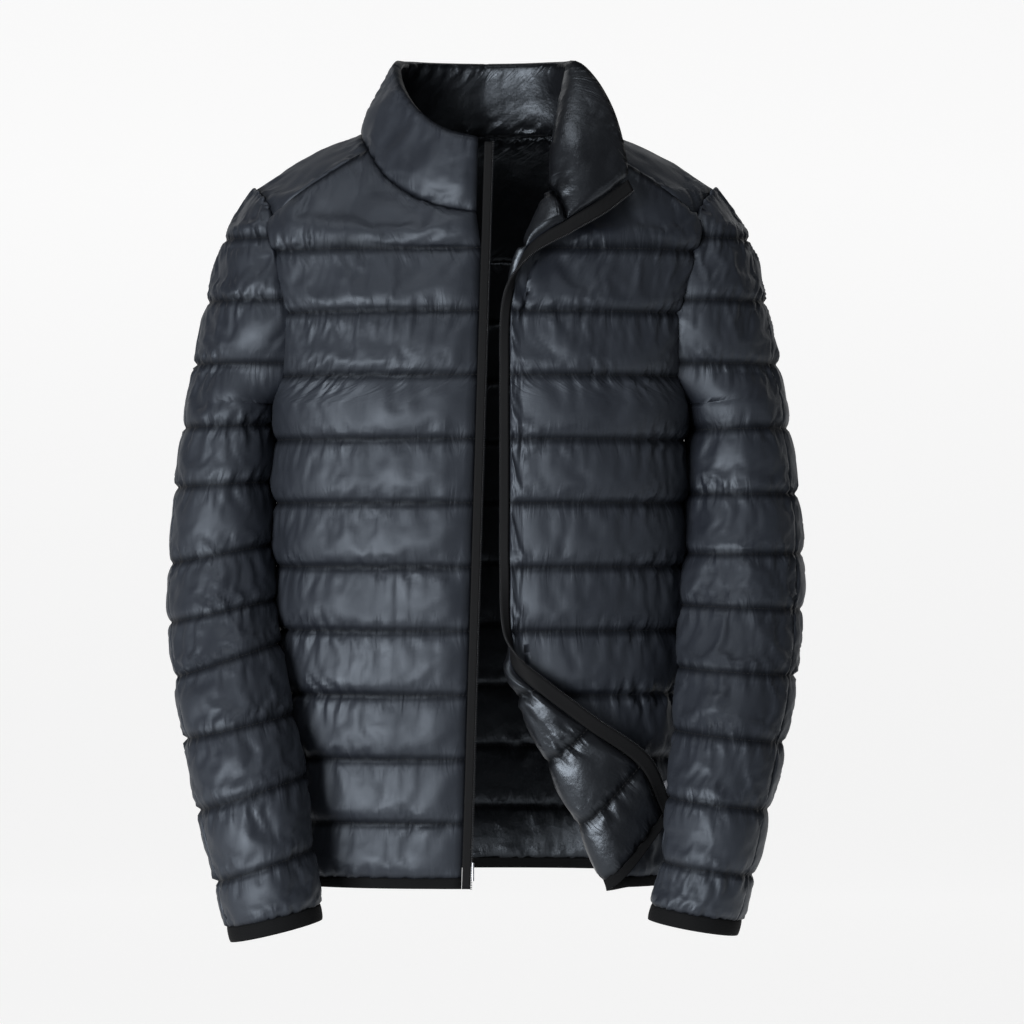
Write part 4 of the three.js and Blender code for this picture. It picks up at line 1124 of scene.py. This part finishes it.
class JACKET_OT_zip(bpy.types.Operator):
    """Make the zip's tapes and its teeth, and give its metal ends their enamel"""

    bl_idname = "jacket.zip"
    bl_label = "Zip"

    def execute(self, context):
        sizes = context.scene.jacket_sizes
        heights = np.linspace(HEM - HEM_BINDING, -22, 190)
        right_edge = zip_tape("zip_tape_right", right_tape, heights, 1)
        rows = np.concatenate([[-HEM_BINDING / HEM_ROW], even(0, 11, 176), 11 + even(0, 1, 26)[1:]])
        left_edge = zip_tape("zip_tape_left", left_tape, rows, -1)
        teeth = run_along(
            "zip_teeth", [right_edge + [0.0004, -0.0002, 0], left_edge], sizes.tooth,
            (0.00085, 0.0030, 0.0024), MATERIALS["teeth"])
        for node in ("zip_pin", "zip_box", "zip_slider"):
            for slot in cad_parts[node].material_slots:
                slot.material = MATERIALS["hardware"]
        return {"FINISHED"}


class JACKET_OT_stitches(bpy.types.Operator):
    """Sew the quilt lines, one stitch after the other"""

    bl_idname = "jacket.stitches"
    bl_label = "Stitches"

    def execute(self, context):
        sizes = context.scene.jacket_sizes
        size = (sizes.stitch * 0.72, 0.0005, 0.0005)
        for name in STITCHED:
            panel = PANELS[name]
            last = int(panel.rows[-1])
            per_row = (len(panel.rows) - 1) // last
            lines = []
            for row in range(1, last):
                line = row * per_row
                lines.append(panel.outer[line] + panel.normal[line] * 0.00015)
                if name in ("back", "front_left"):
                    lines.append(panel.inner[line] - panel.normal[line] * 0.00015)
            obj = run_along(name + "_stitches", lines, sizes.stitch, size, MATERIALS["thread"])
        return {"FINISHED"}


class JACKET_OT_stage(bpy.types.Operator):
    """Set up the pale floor and backdrop, the soft lights and the camera"""

    bl_idname = "jacket.stage"
    bl_label = "Stage"

    def execute(self, context):
        scene = context.scene
        profile = [(-0.8, -1.05), (4.1, -1.05)]
        profile += [(4.1 + 1.4 * np.sin(a), 0.35 - 1.4 * np.cos(a)) for a in np.linspace(0.12, np.pi / 2, 14)]
        profile += [(5.5, 6.0)]
        points = np.array([[(x, y, z) for x in (-7.0, 7.0)] for y, z in profile])
        floor = mesh_object("studio_floor", points, grid_faces(len(profile), 2), [])
        material, _, shader = new_material("studio_paper", scene.jacket_colours.floor, 0.9)
        shader.inputs["Base Color"].default_value = srgb("#9c9c9c")
        shader.inputs["Emission Color"].default_value = srgb(scene.jacket_colours.floor)
        shader.inputs["Emission Strength"].default_value = 0.82
        shader.inputs["Specular IOR Level"].default_value = 0.1
        floor.data.materials.append(material)
        world = bpy.data.worlds.new("studio")
        world.use_nodes = True
        world.node_tree.nodes["Background"].inputs["Color"].default_value = srgb("#ffffff")
        world.node_tree.nodes["Background"].inputs["Strength"].default_value = 0.10
        scene.world = world
        lights = (
            ("key", (-2.05, -3.3, -0.45), (1.6, 2.2), 198),
            ("top", (-0.6, -1.2, 2.5), (1.8, 1.0), 26),
            ("fill", (2.8, -1.6, -0.2), (0.5, 1.8), 4),
        )
        for name, spot, size, power in lights:
            data = bpy.data.lights.new(name, "AREA")
            data.shape, data.size, data.size_y, data.energy = "RECTANGLE", *size, power
            lamp = bpy.data.objects.new(name, data)
            scene.collection.objects.link(lamp)
            lamp.location = spot
            lamp.rotation_euler = (Vector((0, 0, -0.35)) - Vector(spot)).to_track_quat("-Z", "Y").to_euler()
        camera = bpy.data.cameras.new("camera")
        camera.lens, camera.sensor_width = 156.25, 36
        camera.clip_end = 50
        view = bpy.data.objects.new("camera", camera)
        view.location, view.rotation_euler = (0.0243, -4.0, -0.348), (np.pi / 2, 0, 0)
        scene.collection.objects.link(view)
        scene.camera = view
        scene.view_settings.view_transform = "Standard"
        scene.view_settings.look = "None"
        return {"FINISHED"}


class JACKET_PT_panel(bpy.types.Panel):
    """The jacket's sizes, colours and pieces"""

    bl_idname = "JACKET_PT_panel"
    bl_label = "Puffer jacket"
    bl_space_type = "VIEW_3D"
    bl_region_type = "UI"
    bl_category = "Jacket"

    def draw(self, context):
        for group in (context.scene.jacket_sizes, context.scene.jacket_colours):
            for name in group.__annotations__:
                self.layout.prop(group, name)
        for operator in STEPS:
            self.layout.operator(operator.bl_idname)


STEPS = (
    JACKET_OT_materials,
    JACKET_OT_panels,
    JACKET_OT_bindings,
    JACKET_OT_zip,
    JACKET_OT_stitches,
    JACKET_OT_stage,
)
CLASSES = (JacketColours, JacketSizes, *STEPS, JACKET_PT_panel)


def register():
    for cls in CLASSES:
        bpy.utils.register_class(cls)
    bpy.types.Scene.jacket_colours = bpy.props.PointerProperty(type=JacketColours)
    bpy.types.Scene.jacket_sizes = bpy.props.PointerProperty(type=JacketSizes)


def unregister():
    del bpy.types.Scene.jacket_sizes
    del bpy.types.Scene.jacket_colours
    for cls in reversed(CLASSES):
        bpy.utils.unregister_class(cls)


def main():
    register()
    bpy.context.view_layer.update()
    bpy.ops.jacket.materials()
    bpy.ops.jacket.panels()
    bpy.ops.jacket.bindings()
    bpy.ops.jacket.zip()
    bpy.ops.jacket.stitches()
    bpy.ops.jacket.stage()
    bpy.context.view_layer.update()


if __name__ == "__main__":
    main()
